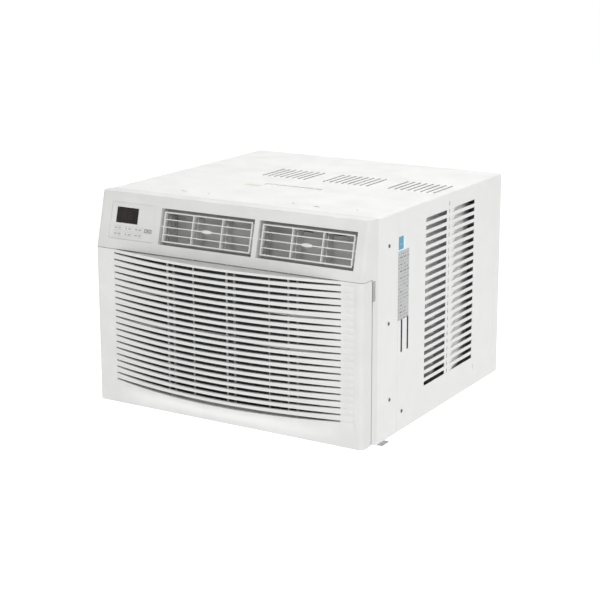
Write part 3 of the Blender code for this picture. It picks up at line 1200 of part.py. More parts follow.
# ---- Refrigeration ----
def make_compressor(finishes):
    """Welded compressor shell on a three-armed foot with rubber grommets."""
    x, depth = COMPRESSOR_PLACE
    low, high = COMPRESSOR_HEIGHTS
    length = high - low
    profile = [(0, 0), (COMPRESSOR_BOTTOM[0], 0), (COMPRESSOR_RADIUS, COMPRESSOR_BOTTOM[1])]
    profile += [(COMPRESSOR_RADIUS * across, length - COMPRESSOR_DOME + COMPRESSOR_DOME * rise)
                for across, rise in arc((0, 0), 1, 0, 72, 3)]
    profile += [(0, length)]
    shell = turned(profile, (x, y_at(depth), z_at(low)), "Z", 32)
    angles = [math.tau * number / COMPRESSOR_ARMS + math.pi / 6 for number in range(COMPRESSOR_ARMS)]
    arms = []
    for angle in angles:
        arm = block((0, COMPRESSOR_FOOT), (-ARM_HALF, ARM_HALF), (0, FOOT_PLATE))
        arm.data.transform(Matrix.Translation((x, y_at(depth), z_at(low - FOOT_PLATE / 2)))
                           @ Matrix.Rotation(angle, 4, "Z"))
        arms.append(arm)
    fuse(shell, fuse(*arms))
    finish(shell, "compressor", finishes["black"])
    reach = COMPRESSOR_FOOT - ARM_HALF
    foot_low = low - FOOT_PLATE / 2 - GAP
    for number, angle in enumerate(angles, 1):
        centre = (x + reach * math.cos(angle), y_at(depth) + reach * math.sin(angle))
        grommet = rod((*centre, z_at(PAN_SHEET + GAP)), (*centre, z_at(foot_low)), GROMMET_RADIUS, 16)
        finish(grommet, f"compressor_grommet_{number}", finishes["rubber"])


def make_circuit(finishes):
    """Accumulator and the tubes between compressor, coils and capillary."""
    x, depth = ACCUMULATOR_PLACE
    low, high = ACCUMULATOR_HEIGHTS
    length = high - low
    neck_radius, neck = ACCUMULATOR_NECK
    can = turned([(0, 0), (neck_radius, 0), (ACCUMULATOR_RADIUS, neck),
                  (ACCUMULATOR_RADIUS, length - neck), (neck_radius, length), (0, length)],
                 (x, y_at(depth), z_at(low)), "Z", 24)
    finish(can, "accumulator", finishes["copper"])
    evaporator_end = COIL_X[1] + GAP
    condenser_face = CONDENSER_DEPTHS[0] - GAP
    suction = [(evaporator_end, SUCTION_DEPTH, SUCTION_LEVEL), (PIPE_X, SUCTION_DEPTH, SUCTION_LEVEL),
               (PIPE_X, BULKHEAD_DEPTH, SUCTION_LEVEL), (x, depth, SUCTION_LEVEL), (x, depth, high + GAP)]
    centre = COMPRESSOR_PLACE
    top = COMPRESSOR_HEIGHTS[1]
    discharge = [(*centre, top + GAP), (*centre, DISCHARGE_LEVEL), (centre[0], PIPE_TURN, DISCHARGE_LEVEL),
                 (PIPE_X, PIPE_TURN, DISCHARGE_LEVEL), (PIPE_X, condenser_face, DISCHARGE_LEVEL)]
    capillary = [(evaporator_end, SUCTION_DEPTH, CAPILLARY_LEVEL), (PIPE_X, SUCTION_DEPTH, CAPILLARY_LEVEL),
                 (PIPE_X, PIPE_TURN, CAPILLARY_LEVEL), (PIPE_X, PIPE_TURN, 2 * CAPILLARY_LEVEL),
                 (PIPE_X, condenser_face, 2 * CAPILLARY_LEVEL)]
    tubes = (("suction_pipe", suction, SUCTION_RADIUS), ("discharge_pipe", discharge, DISCHARGE_RADIUS),
             ("capillary_tube", capillary, CAPILLARY_RADIUS))
    for name, points, radius in tubes:
        route = [(across, y_at(inward), z_at(up)) for across, inward, up in points]
        finish(pipe(route, radius, PIPE_BEND), name, finishes["copper"])


def clear_scene():
    """Remove every object of the open scene."""
    for item in list(bpy.data.objects):
        bpy.data.objects.remove(item)


def main():
    """Build every piece."""
    clear_scene()
    finishes = make_materials()
    make_cabinet(finishes["cabinet"])
    make_base_pan(finishes["cabinet"])
    make_screws(finishes["zinc"])
    make_feet(finishes["zinc"], finishes["rubber"])
    make_bezel(finishes["white"])
    make_grille(finishes["white"])
    make_hinge_pins(finishes["zinc"])
    make_filter(finishes["mesh"])
    for side_name, x in OUTLETS.items():
        make_louvre(x, side_name, finishes["white"])
        make_vanes(x, side_name, finishes["white"])
    make_controls(finishes)
    make_coil("evaporator_coil", COIL_X, COIL_DEPTHS, COIL_HEIGHTS, finishes["fins"])
    make_drip_tray(finishes["foam"])
    make_blower_housing(finishes["foam"])
    make_duct(finishes["foam"])
    make_bulkhead(finishes["zinc"])
    make_blower_wheel(finishes["grey"])
    make_condenser_fan(finishes["grey"])
    make_motor(finishes)
    make_shroud(finishes["grey"])
    make_coil("condenser_coil", CONDENSER_X, CONDENSER_DEPTHS, CONDENSER_HEIGHTS, finishes["fins"])
    make_guard(finishes["zinc"])
    make_compressor(finishes)
    make_circuit(finishes)


main()
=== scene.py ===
"""Looks of a window air conditioner: finishes, fine shapes and the studio around it.

Lengths are metres in the frame's own axes: +X to the right seen from the room, +Y to the outdoor
end, +Z up. Depths are counted from the seam between room-side panel and cabinet, heights from the
cabinet's bottom edge, and slopes up the leaning face of the upper panel.
"""

import json
import logging
import math
from dataclasses import dataclass
from enum import Enum

import bmesh
import bpy
from mathutils import Matrix, Vector

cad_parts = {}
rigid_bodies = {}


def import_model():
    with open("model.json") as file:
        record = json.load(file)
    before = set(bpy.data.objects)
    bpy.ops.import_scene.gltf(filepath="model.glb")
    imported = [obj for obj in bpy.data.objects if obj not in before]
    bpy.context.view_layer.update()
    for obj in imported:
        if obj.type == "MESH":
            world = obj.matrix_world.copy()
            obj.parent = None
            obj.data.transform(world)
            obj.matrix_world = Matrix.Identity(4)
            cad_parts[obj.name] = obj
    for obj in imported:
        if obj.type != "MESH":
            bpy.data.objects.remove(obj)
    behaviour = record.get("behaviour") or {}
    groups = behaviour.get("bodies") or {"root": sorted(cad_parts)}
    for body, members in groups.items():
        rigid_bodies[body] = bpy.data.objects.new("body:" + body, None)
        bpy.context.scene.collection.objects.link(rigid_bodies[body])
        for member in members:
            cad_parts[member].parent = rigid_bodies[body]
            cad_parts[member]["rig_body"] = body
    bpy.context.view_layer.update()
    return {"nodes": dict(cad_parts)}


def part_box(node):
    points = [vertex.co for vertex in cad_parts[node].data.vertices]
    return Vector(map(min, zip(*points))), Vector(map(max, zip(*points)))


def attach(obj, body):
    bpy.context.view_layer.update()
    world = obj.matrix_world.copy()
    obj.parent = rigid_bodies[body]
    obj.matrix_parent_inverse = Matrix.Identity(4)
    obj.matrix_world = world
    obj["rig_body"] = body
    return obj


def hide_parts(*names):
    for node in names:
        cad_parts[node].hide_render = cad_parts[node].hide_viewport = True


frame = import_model()

LOG = logging.getLogger("window_unit")
MERGE = 1e-5                     # corners of the frame's loose triangles that belong together
SEAM_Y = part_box("cabinet_shell")[0].y
BOTTOM_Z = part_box("cabinet_shell")[0].z
HALF_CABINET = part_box("cabinet_shell")[1].x
HALF_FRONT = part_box("front_bezel")[1].x
TOP_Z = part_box("cabinet_shell")[1].z
SPLIT_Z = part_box("intake_grille")[1].z
PANEL_DEPTH = 0.061              # flat front of the panel, ahead of the seam
PANEL_Y = SEAM_Y - PANEL_DEPTH


# ---- Materials ----
def linear(code: str) -> tuple[float, float, float, float]:
    """Turn an sRGB hex colour into linear RGBA.

    Args:
        code: Colour such as "#EDEDEB".

    Returns:
        Linear red, green, blue and an alpha of 1.
    """
    channels = [int(code[start:start + 2], 16) / 255 for start in (1, 3, 5)]
    return (*[c / 12.92 if c <= 0.04045 else ((c + 0.055) / 1.055) ** 2.4 for c in channels], 1.0)


def add_node(tree: bpy.types.NodeTree, kind: str, inputs: dict | None = None, **settings) -> bpy.types.Node:
    """Add one node to a tree.

    Args:
        tree: Tree that takes the node.
        kind: The node's type name.
        inputs: Input name or index to a value, or to an output socket that is linked to it.
        **settings: The node's own properties.

    Returns:
        The new node.
    """
    node = tree.nodes.new(kind)
    for name, value in settings.items():
        setattr(node, name, value)
    for name, value in (inputs or {}).items():
        if isinstance(value, bpy.types.NodeSocket):
            tree.links.new(value, node.inputs[name])
        else:
            node.inputs[name].default_value = value
    return node


class Pattern(Enum):
    """How a surface was made, which sets the pattern that it shows."""

    MOULDED = "moulded"
    POWDER = "powder coated"
    BRUSHED = "brushed"
    SPANGLED = "zinc spangle"
    BEADED = "foam beads"
    WOVEN = "woven"
    PRINTED = "printed"
    FOLDED = "fin stack"


@dataclass(frozen=True)
class Finish:
    """One real finish: its colours, gloss and the relief that its making leaves.

    pitch_mm is the size of the pattern's grain and relief_mm how deep it is. drift_mm is the size of
    the slow change between colour and shade.
    """

    name: str
    colour: str
    shade: str
    roughness: float
    pattern: Pattern
    pitch_mm: float
    relief_mm: float
    metallic: float = 0.0
    ior: float = 1.5
    coat: float = 0.0
    drift_mm: float = 60.0
    spread: float = 0.06

    def material(self) -> bpy.types.Material:
        """Return this finish as a material, made on first use.

        Returns:
            The Blender material.
        """
        made = bpy.data.materials.get(self.name)
        if made is not None:
            return made
        made = bpy.data.materials.new(self.name)
        made.use_nodes = True
        tree = made.node_tree
        tree.nodes.clear()
        where = add_node(tree, "ShaderNodeTexCoord").outputs["Object"]
        drift = add_node(tree, "ShaderNodeTexNoise",
                         {"Vector": where, "Scale": 1000 / self.drift_mm, "Detail": 3.0})
        height, tint = self.relief(tree, where)
        ramp = add_node(tree, "ShaderNodeValToRGB", {"Fac": tint if tint is not None else drift.outputs[0]})
        ramp.color_ramp.elements[0].color = linear(self.shade)
        ramp.color_ramp.elements[1].color = linear(self.colour)
        if tint is None:
            ramp.color_ramp.elements[0].position = 0.30
            ramp.color_ramp.elements[1].position = 0.62
        rough = add_node(tree, "ShaderNodeMapRange",
                         {"Value": drift.outputs[0], "From Min": 0.3, "From Max": 0.7,
                          "To Min": max(0.02, self.roughness - self.spread),
                          "To Max": min(1.0, self.roughness + self.spread)})
        bump = add_node(tree, "ShaderNodeBump",
                        {"Height": height, "Strength": 0.6, "Distance": self.relief_mm / 1000})
        values = {"Base Color": ramp.outputs["Color"], "Roughness": rough.outputs["Result"],
                  "Normal": bump.outputs["Normal"], "Metallic": self.metallic, "Coat Weight": self.coat}
        if self.metallic == 0.0:
            values["IOR"] = self.ior
        shader = add_node(tree, "ShaderNodeBsdfPrincipled", values)
        add_node(tree, "ShaderNodeOutputMaterial", {"Surface": shader.outputs["BSDF"]})
        return made

    def relief(self, tree: bpy.types.NodeTree, where: bpy.types.NodeSocket) -> tuple:
        """Add the nodes of this finish's pattern.

        Args:
            tree: The material's tree.
            where: Socket with the surface's coordinates in metres.

        Returns:
            Socket with the height, and the socket that picks the colour or None.
        """
        scale = 1000 / self.pitch_mm
        if self.pattern is Pattern.BRUSHED:
            along = add_node(tree, "ShaderNodeMapping", {"Vector": where, "Scale": (1.0, 1.0, 0.03)})
            grain = add_node(tree, "ShaderNodeTexNoise",
                             {"Vector": along.outputs[0], "Scale": scale, "Detail": 2.0})
            return grain.outputs[0], None
        if self.pattern is Pattern.SPANGLED:
            cells = add_node(tree, "ShaderNodeTexVoronoi", {"Vector": where, "Scale": scale})
            grey = add_node(tree, "ShaderNodeSeparateColor", {"Color": cells.outputs["Color"]})
            return cells.outputs["Distance"], grey.outputs[0]
        if self.pattern is Pattern.BEADED:
            beads = add_node(tree, "ShaderNodeTexVoronoi", {"Vector": where, "Scale": scale},
                             feature="SMOOTH_F1")
            turned_over = add_node(tree, "ShaderNodeMath", {0: 1.0, 1: beads.outputs["Distance"]},
                                   operation="SUBTRACT")
            return turned_over.outputs[0], None
        if self.pattern in (Pattern.WOVEN, Pattern.FOLDED):
            warp = add_node(tree, "ShaderNodeTexWave", {"Vector": where, "Scale": scale / 6.28},
                            bands_direction="X", wave_profile="SIN")
            if self.pattern is Pattern.FOLDED:
                return warp.outputs["Fac"], None
            weft = add_node(tree, "ShaderNodeTexWave", {"Vector": where, "Scale": scale / 6.28},
                            bands_direction="Z", wave_profile="SIN")
            cloth = add_node(tree, "ShaderNodeMath", {0: warp.outputs["Fac"], 1: weft.outputs["Fac"]},
                             operation="MAXIMUM")
            return cloth.outputs[0], None
        if self.pattern is Pattern.PRINTED:
            apart = add_node(tree, "ShaderNodeSeparateXYZ", {"Vector": where})
            sideways = add_node(tree, "ShaderNodeCombineXYZ",
                                {"X": apart.outputs["Y"], "Y": apart.outputs["Z"]})
            bars = add_node(tree, "ShaderNodeTexBrick",
                            {"Vector": sideways.outputs[0], "Scale": scale, "Mortar Size": 0.28,
                             "Brick Width": 1.7, "Row Height": 0.8, "Color1": (0.1, 0.1, 0.1, 1.0),
                             "Color2": (0.9, 0.9, 0.9, 1.0), "Mortar": (1.0, 1.0, 1.0, 1.0)},
                            offset=0.37, squash=0.6)
            grey = add_node(tree, "ShaderNodeSeparateColor", {"Color": bars.outputs["Color"]})
            return grey.outputs[0], grey.outputs[0]
        detail = 4.0 if self.pattern is Pattern.MOULDED else 1.0
        grain = add_node(tree, "ShaderNodeTexNoise", {"Vector": where, "Scale": scale, "Detail": detail})
        return grain.outputs[0], None


# Moulded ABS with a fine spark-eroded grain: soft, even white with a wide dull highlight.
PANEL_ABS = Finish("moulded_white_abs", "#E4E4E3", "#DFDFDE", 0.42, Pattern.MOULDED, 0.7, 0.012)
# Powder coat on sheet steel: slightly wavy like orange peel, so highlights break up softly.
POWDER_COAT = Finish("white_powder_coat", "#ECECEB", "#E8E8E7", 0.44, Pattern.POWDER, 1.6, 0.02, coat=0.05)
# Smoked acrylic over an unlit display: nearly black with sharp reflections.
SMOKED_ACRYLIC = Finish("smoked_acrylic", "#2B2422", "#1D1816", 0.10, Pattern.MOULDED, 3.0, 0.002,
                        ior=1.49, coat=0.4, drift_mm=25, spread=0.02)
# Unlit segments of the display: a warmer, duller brown under the acrylic.
SEGMENT = Finish("unlit_segment", "#3A2E2B", "#332825", 0.35, Pattern.MOULDED, 1.0, 0.002)
# Pad-printed grey ink: flat and slightly rough.
GREY_INK = Finish("pad_printed_ink", "#8C8E90", "#7C7E80", 0.60, Pattern.MOULDED, 0.4, 0.004)
# Silicone key film, a shade greyer than the panel.
KEY_FILM = Finish("key_film", "#D4D5D5", "#CBCCCC", 0.50, Pattern.MOULDED, 0.5, 0.006)
# Zinc-plated steel: pale cool metal with large faint spangles.
ZINC = Finish("zinc_plated_steel", "#B9BCBE", "#A2A6A9", 0.38, Pattern.SPANGLED, 9.0, 0.004, metallic=0.85)
# Bright steel of screws, pins and shaft: darker than the zinc, with a fine drawn grain.
SCREW_STEEL = Finish("nickelled_steel", "#6E6E6C", "#5C5C5A", 0.30, Pattern.BRUSHED, 0.3, 0.003, metallic=1.0)
# Baked black enamel of the compressor: deep black, half gloss.
BLACK_ENAMEL = Finish("black_enamel", "#1C1D1E", "#141516", 0.36, Pattern.POWDER, 2.0, 0.03, coat=0.2)
# Grey enamel on the accumulator and the pipe above it: even and dull.
GREY_ENAMEL = Finish("grey_enamel", "#A9ABAC", "#9C9E9F", 0.50, Pattern.POWDER, 2.0, 0.02)
# Vulcanised rubber: matt, dusty black.
RUBBER = Finish("vulcanised_rubber", "#262625", "#1B1B1A", 0.82, Pattern.MOULDED, 0.8, 0.05)
# Hydrophilic-coated aluminium fin stock: pale, bright edges.
FIN_STOCK = Finish("aluminium_fin_stock", "#D2D6D9", "#C0C5C9", 0.45, Pattern.FOLDED, 1.5, 0.05, metallic=0.6)
# Drawn copper tube, browned a little by brazing.
COPPER = Finish("drawn_copper", "#B87045", "#8C4E30", 0.30, Pattern.BRUSHED, 0.8, 0.01, metallic=1.0,
                drift_mm=30)
# Expanded polystyrene: pale and dull, with the outlines of its beads.
FOAM = Finish("expanded_polystyrene", "#D9DADA", "#CECFCF", 0.85, Pattern.BEADED, 4.0, 0.25)
# Glass-filled polypropylene of fan, shroud and filter frame: mid grey with a coarse satin skin.
POLYPROPYLENE = Finish("filled_polypropylene", "#B4B6B8", "#A6A8AA", 0.48, Pattern.MOULDED, 1.2, 0.03)
# Pale polypropylene of the air guides behind the side slots: it throws light back out of them.
GUIDE_PP = Finish("pale_polypropylene", "#F0F0F0", "#E8E8E8", 0.55, Pattern.MOULDED, 1.2, 0.02)
# Black polypropylene of the blower wheel: satin, so that its blades catch thin highlights.
WHEEL_PP = Finish("black_polypropylene", "#2E3031", "#242526", 0.45, Pattern.MOULDED, 1.2, 0.03)
# Solder-masked board: dark green, glossy.
BOARD = Finish("solder_masked_board", "#1E5B3A", "#184A30", 0.30, Pattern.MOULDED, 2.0, 0.02, coat=0.3)
# Polypropylene net of the air filter: dark, fine and matt.
FILTER_NET = Finish("filter_net", "#3C3F41", "#323537", 0.60, Pattern.WOVEN, 1.2, 0.06)
# Rolled and varnished motor steel: mid grey with a faint rolling grain.
MOTOR_STEEL = Finish("varnished_steel", "#8A8D8F", "#77797B", 0.34, Pattern.BRUSHED, 0.6, 0.01, metallic=0.9)
# Impact-extruded aluminium can of the capacitor: pale, with fine lines drawn along it.
CAN_ALUMINIUM = Finish("extruded_aluminium", "#C6C8CA", "#B5B8BA", 0.28, Pattern.BRUSHED, 0.5, 0.006,
                       metallic=1.0)
# Gloss-laminated label films, flat and bright. The grey one has rows of plain bars in place of print.
BLUE_FILM = Finish("blue_label_film", "#0F93B8", "#0C88AC", 0.30, Pattern.MOULDED, 2.0, 0.003, coat=0.3)
WHITE_FILM = Finish("white_label_film", "#EAF6F8", "#DDEFF3", 0.30, Pattern.MOULDED, 2.0, 0.003, coat=0.3)
GREY_FILM = Finish("grey_label_film", "#BCBDBD", "#4E4F50", 0.38, Pattern.PRINTED, 9.0, 0.0)
PALE_FILM = Finish("pale_label_film", "#E4E6D2", "#D9DCC2", 0.35, Pattern.MOULDED, 2.0, 0.003)
# Seamless studio paper: matt, so that it shows no sheen.
PAPER = Finish("studio_paper", "#A8A8A8", "#A4A4A4", 0.95, Pattern.MOULDED, 1.5, 0.0)


# ---- Meshes ----
def add_box(bm: bmesh.types.BMesh, low: Vector, high: Vector, matrix: Matrix | None = None) -> list:
    """Add a box between two corners.

    Args:
        bm: Mesh that takes it.
        low: Lowest corner.
        high: Highest corner.
        matrix: Optional placement applied afterwards.

    Returns:
        The new vertices.
    """
    low, high = Vector(low), Vector(high)
    size = high - low
    place = Matrix.Translation((low + high) / 2) @ Matrix.Diagonal((*size, 1.0))
    return bmesh.ops.create_cube(bm, size=1.0, matrix=(matrix or Matrix()) @ place)["verts"]


def round_edges(bm: bmesh.types.BMesh, verts: list, radius: float, segments: int = 2) -> None:
    """Bevel every edge between the given vertices.

    Args:
        bm: Mesh that holds them.
        verts: Vertices of the body to round.
        radius: Width of the rounding.
        segments: Faces across it.
    """
    chosen = set(verts)
    edges = [edge for edge in bm.edges if edge.verts[0] in chosen and edge.verts[1] in chosen]
    bmesh.ops.bevel(bm, geom=edges, offset=radius, segments=segments, profile=0.5, affect="EDGES",
                    material=-1)


def add_rod(bm: bmesh.types.BMesh, start: Vector, end: Vector, radius: float, segments: int = 24,
            tip: float | None = None) -> list:
    """Add a round bar between two points.

    Args:
        bm: Mesh that takes it.
        start: Centre of its first end.
        end: Centre of its other end.
        radius: Radius at the start.
        segments: Sides.
        tip: Radius at the end, the same as the start where it is None.

    Returns:
        The new vertices.
    """
    start, run = Vector(start), Vector(end) - Vector(start)
    turn = run.to_track_quat("Z", "Y").to_matrix().to_4x4()
    return bmesh.ops.create_cone(bm, cap_ends=True, segments=segments, radius1=radius,
                                 radius2=radius if tip is None else tip, depth=run.length,
                                 matrix=Matrix.Translation(start + run / 2) @ turn)["verts"]


def add_pill(bm: bmesh.types.BMesh, centre: Vector, length: float, width: float, thickness: float,
             matrix: Matrix | None = None, segments: int = 10) -> list:
    """Add a flat plate with half-round ends, lying in X and Z and thick along Y.

    Args:
        bm: Mesh that takes it.
        centre: Middle of the plate.
        length: Overall length along X.
        width: Height along Z.
        thickness: Depth along Y.
        matrix: Optional placement applied afterwards.
        segments: Faces round each end.

    Returns:
        The new vertices.
    """
    verts = add_box(bm, (-length / 2, -thickness / 2, -width / 2), (length / 2, thickness / 2, width / 2))
    chosen = set(verts)
    upright = [edge for edge in bm.edges if set(edge.verts) <= chosen
               and abs(edge.verts[0].co.y - edge.verts[1].co.y) > thickness / 2]
    before = set(bm.verts)
    bmesh.ops.bevel(bm, geom=upright, offset=min(length, width) * 0.499, segments=segments, profile=0.5,
                    affect="EDGES", material=-1)
    made = [vert for vert in bm.verts if vert not in before or vert in chosen]
    made = [vert for vert in made if vert.is_valid]
    bmesh.ops.transform(bm, verts=made, matrix=(matrix or Matrix()) @ Matrix.Translation(centre))
    return made


def add_turned(bm: bmesh.types.BMesh, profile: list, centre: Vector, along: Vector, steps: int = 48) -> None:
    """Turn an open outline of (radius, along) points round an axis.

    Args:
        bm: Mesh that takes it.
        profile: Outline, starting and ending on the axis for a closed body.
        centre: Point on the axis where along is 0.
        along: Direction of the axis.
        steps: Faces round it.
    """
    centre, along = Vector(centre), Vector(along)
    outward = along.orthogonal().normalized()
    points = [bm.verts.new(centre + outward * radius + along * height) for radius, height in profile]
    edges = [bm.edges.new(pair) for pair in zip(points, points[1:])]
    bmesh.ops.spin(bm, geom=points + edges, cent=centre, axis=along, angle=math.tau, steps=steps,
                   use_merge=True)


def as_object(bm: bmesh.types.BMesh, name: str) -> bpy.types.Object:
    """Merge a mesh's doubles, turn its faces outwards and link it as an object at the origin.

    Args:
        bm: The finished mesh, which is freed.
        name: Name of the piece.

    Returns:
        The linked object.
    """
    bmesh.ops.remove_doubles(bm, verts=bm.verts, dist=1e-6)
    bmesh.ops.recalc_face_normals(bm, faces=bm.faces)
    mesh = bpy.data.meshes.new(name)
    bm.to_mesh(mesh)
    bm.free()
    piece = bpy.data.objects.new(name, mesh)
    bpy.context.scene.collection.objects.link(piece)
    return piece


def plain_box(low: Vector, high: Vector, name: str = "tool") -> bpy.types.Object:
    """Make a plain box as an object of its own.

    Args:
        low: Lowest corner.
        high: Highest corner.
        name: Name of the object.

    Returns:
        The linked object.
    """
    bm = bmesh.new()
    add_box(bm, low, high)
    return as_object(bm, name)


def thicken(bm: bmesh.types.BMesh, faces: list, step: tuple) -> None:
    """Turn a sheet into a closed slab.

    Args:
        bm: Mesh that holds the sheet.
        faces: The sheet's faces.
        step: From one face of the slab to the other.
    """
    raised = bmesh.ops.extrude_face_region(bm, geom=faces)["geom"]
    moved = [item for item in raised if isinstance(item, bmesh.types.BMVert)]
    bmesh.ops.translate(bm, verts=moved, vec=step)


def copy_of(node: str, whole: bool = True) -> bmesh.types.BMesh:
    """Return a CAD node's mesh with its loose triangles joined.

    Args:
        node: Name of the node.
        whole: Whether its flat faces are made whole too.

    Returns:
        A new mesh.
    """
    bm = bmesh.new()
    bm.from_mesh(frame["nodes"][node].data)
    bmesh.ops.remove_doubles(bm, verts=bm.verts, dist=MERGE)
    if whole:
        bmesh.ops.dissolve_limit(bm, angle_limit=math.radians(0.5), verts=bm.verts, edges=bm.edges)
    return bm


def apply_boolean(piece: bpy.types.Object, tool: bpy.types.Object, operation: str = "DIFFERENCE") -> None:
    """Apply one Boolean and remove its tool.

    Args:
        piece: Object that changes.
        tool: Closed mesh that cuts or joins it.
        operation: DIFFERENCE or UNION.
    """
    modifier = piece.modifiers.new("shape", "BOOLEAN")
    modifier.operation = operation
    modifier.solver = "EXACT"
    modifier.object = tool
    mesh = bpy.data.meshes.new_from_object(
        piece.evaluated_get(bpy.context.evaluated_depsgraph_get()))
    piece.modifiers.clear()
    piece.data = mesh
    bpy.data.objects.remove(tool)


def soften(piece: bpy.types.Object, width: float, segments: int = 2, angle: float = 32.0) -> None:
    """Round the sharp edges of a piece, so that they catch the light.

    Args:
        piece: Object to soften.
        width: Width of the rounding.
        segments: Faces across it.
        angle: Edges sharper than this many degrees are rounded.
    """
    bevel = piece.modifiers.new("soft_edges", "BEVEL")
    bevel.width = width
    bevel.segments = segments
    bevel.limit_method = "ANGLE"
    bevel.angle_limit = math.radians(angle)
    bevel.use_clamp_overlap = True
    bevel.miter_outer = "MITER_ARC"
    bevel.harden_normals = True


def keep_flats(piece: bpy.types.Object) -> None:
    """Shade faces that lie square to the frame flat, so that a piece's bends don't tint them.

    Args:
        piece: Object to shade.
    """
    for face in piece.data.polygons:
        if max(abs(part) for part in face.normal) > 0.9998:
            face.use_smooth = False


def mount(piece: bpy.types.Object, body: str, finish: Finish, nodes: tuple = (),
          smooth: float = 35.0) -> bpy.types.Object:
    """Dress a finished piece, shade it and let it ride on a body.

    Args:
        piece: The piece.
        body: Body that carries it.
        finish: Its finish.
        nodes: CAD nodes that it stands for.
        smooth: Edges sharper than this many degrees stay sharp.

    Returns:
        The same piece.
    """
    piece.data.materials.clear()
    piece.data.materials.append(finish.material())
    piece.data.shade_smooth()
    piece.data.set_sharp_from_angle(angle=math.radians(smooth))
    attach(piece, body)
    if nodes:
        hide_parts(*nodes)
    LOG.info("%s rides on %s in %s", piece.name, body, finish.name)
    return piece


def softened(node: str, name: str, body: str, finish: Finish, width: float = 0.0005,
             segments: int = 2) -> bpy.types.Object:
    """Stand a softened copy in for a CAD node whose shape is right but whose edges are too sharp.

    Args:
        node: Name of the node.
        name: Name of the new piece.
        body: Body that carries it.
        finish: Its finish.
        width: Width of the rounding.
        segments: Faces across it.

    Returns:
        The new piece.
    """
    piece = as_object(copy_of(node), name)
    soften(piece, width, segments)
    return mount(piece, body, finish, (node,))


def dress(finish: Finish, *nodes: str) -> None:
    """Give CAD nodes a finish, their shape unchanged.

    Args:
        finish: The finish.
        *nodes: Names of the nodes.
    """
    for node in nodes:
        piece = frame["nodes"][node]
        piece.data.materials.clear()
        piece.data.materials.append(finish.material())
        LOG.info("%s keeps its shape in %s", node, finish.name)


def body_of(node: str) -> str:
    """Find the body that carries a node.

    Args:
        node: Name of the node.

    Returns:
        The body's name.
    """
    return frame["nodes"][node]["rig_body"]


def at(x: float, depth: float, height: float) -> Vector:
    """Turn the way places are given here into a point in the frame.

    Args:
        x: Place across.
        depth: Depth behind the seam.
        height: Height above the cabinet's bottom edge.

    Returns:
        The point.
    """
    return Vector((x, SEAM_Y + depth, BOTTOM_Z + height))


def tube(route: list, radius: float, name: str) -> bpy.types.Object:
    """Make a round tube along a route of points.

    Args:
        route: Points of the centreline.
        radius: Outer radius.
        name: Name of the piece.

    Returns:
        A mesh object at the origin.
    """
    curve = bpy.data.curves.new(name, "CURVE")
    curve.dimensions = "3D"
    curve.bevel_depth = radius
    curve.bevel_resolution = 2
    curve.use_fill_caps = True
    spline = curve.splines.new("POLY")
    spline.points.add(len(route) - 1)
    for point, place in zip(spline.points, route):
        point.co = (*place, 1.0)
    guide = bpy.data.objects.new(name, curve)
    bpy.context.scene.collection.objects.link(guide)
    mesh = bpy.data.meshes.new_from_object(
        guide.evaluated_get(bpy.context.evaluated_depsgraph_get()))
    bpy.data.objects.remove(guide)
    bm = bmesh.new()
    bm.from_mesh(mesh)
    bpy.data.meshes.remove(mesh)
    return as_object(bm, name)


# ---- Studio ----
@dataclass
class Studio:
    """Camera at a three-quarter view, soft lights and a seamless paper floor."""

    azimuth: float = 30.6
    elevation: float = 12.85
    lens: float = 92.06
    eye: tuple = (1.721, -2.848, 1.093)
    shift: tuple = (-0.0235, -0.0833)
    floor_size: float = 150.0
    surround: float = 0.30
    glow: float = 0.885
    aim: tuple = (0, 0, 0.25)
    lamps: tuple = (("key", (1.3, -2.9, 2.3), 1.4, 38.0), ("side", (3.4, 0.2, 2.0), 2.0, 4.0),
                    ("top", (0.2, 0.6, 3.2), 2.4, 80.0))

    def build_camera(self) -> None:
        """Make the camera and set it as the scene's."""
        data = bpy.data.cameras.new("camera")
        data.lens = self.lens
        data.shift_x, data.shift_y = self.shift
        camera = bpy.data.objects.new("camera", data)
        bpy.context.scene.collection.objects.link(camera)
        camera.location = self.eye
        camera.rotation_euler = (math.radians(90 - self.elevation), 0.0, math.radians(self.azimuth))
        bpy.context.scene.camera = camera

    def build_lights(self) -> None:
        """Make an even white surround and three large soft lights."""
        world = bpy.data.worlds.new("surround")
        bpy.context.scene.world = world
        world.use_nodes = True
        shade = world.node_tree.nodes["Background"]
        shade.inputs["Color"].default_value = (1.0, 1.0, 1.0, 1.0)
        shade.inputs["Strength"].default_value = self.surround
        for name, place, size, power in self.lamps:
            light = bpy.data.lights.new(name, "AREA")
            light.size = size
            light.energy = power
            lamp = bpy.data.objects.new(name, light)
            bpy.context.scene.collection.objects.link(lamp)
            lamp.location = place
            lamp.rotation_euler = (Vector(place) - Vector(self.aim)).to_track_quat("Z", "Y").to_euler()

    def build_floor(self) -> None:
        """Lay the paper on the ground plane."""
        bm = bmesh.new()
        bmesh.ops.create_grid(bm, x_segments=4, y_segments=4, size=self.floor_size)
        floor = as_object(bm, "paper_floor")
        floor.data.materials.append(self.paper())

    def paper(self) -> bpy.types.Material:
        """Return the floor's material: white film lit from below, so that it shows hardly a shadow.

        Returns:
            The paper's material with a glow added to its shader.
        """
        made = PAPER.material()
        shader = next(node for node in made.node_tree.nodes if node.type == "BSDF_PRINCIPLED")
        shader.inputs["Emission Color"].default_value = (1.0, 1.0, 1.0, 1.0)
        shader.inputs["Emission Strength"].default_value = self.glow
        return made

    def build(self) -> None:
        """Build the whole studio."""
        bpy.context.scene.view_settings.view_transform = "Standard"
        self.build_camera()
        self.build_lights()
        self.build_floor()


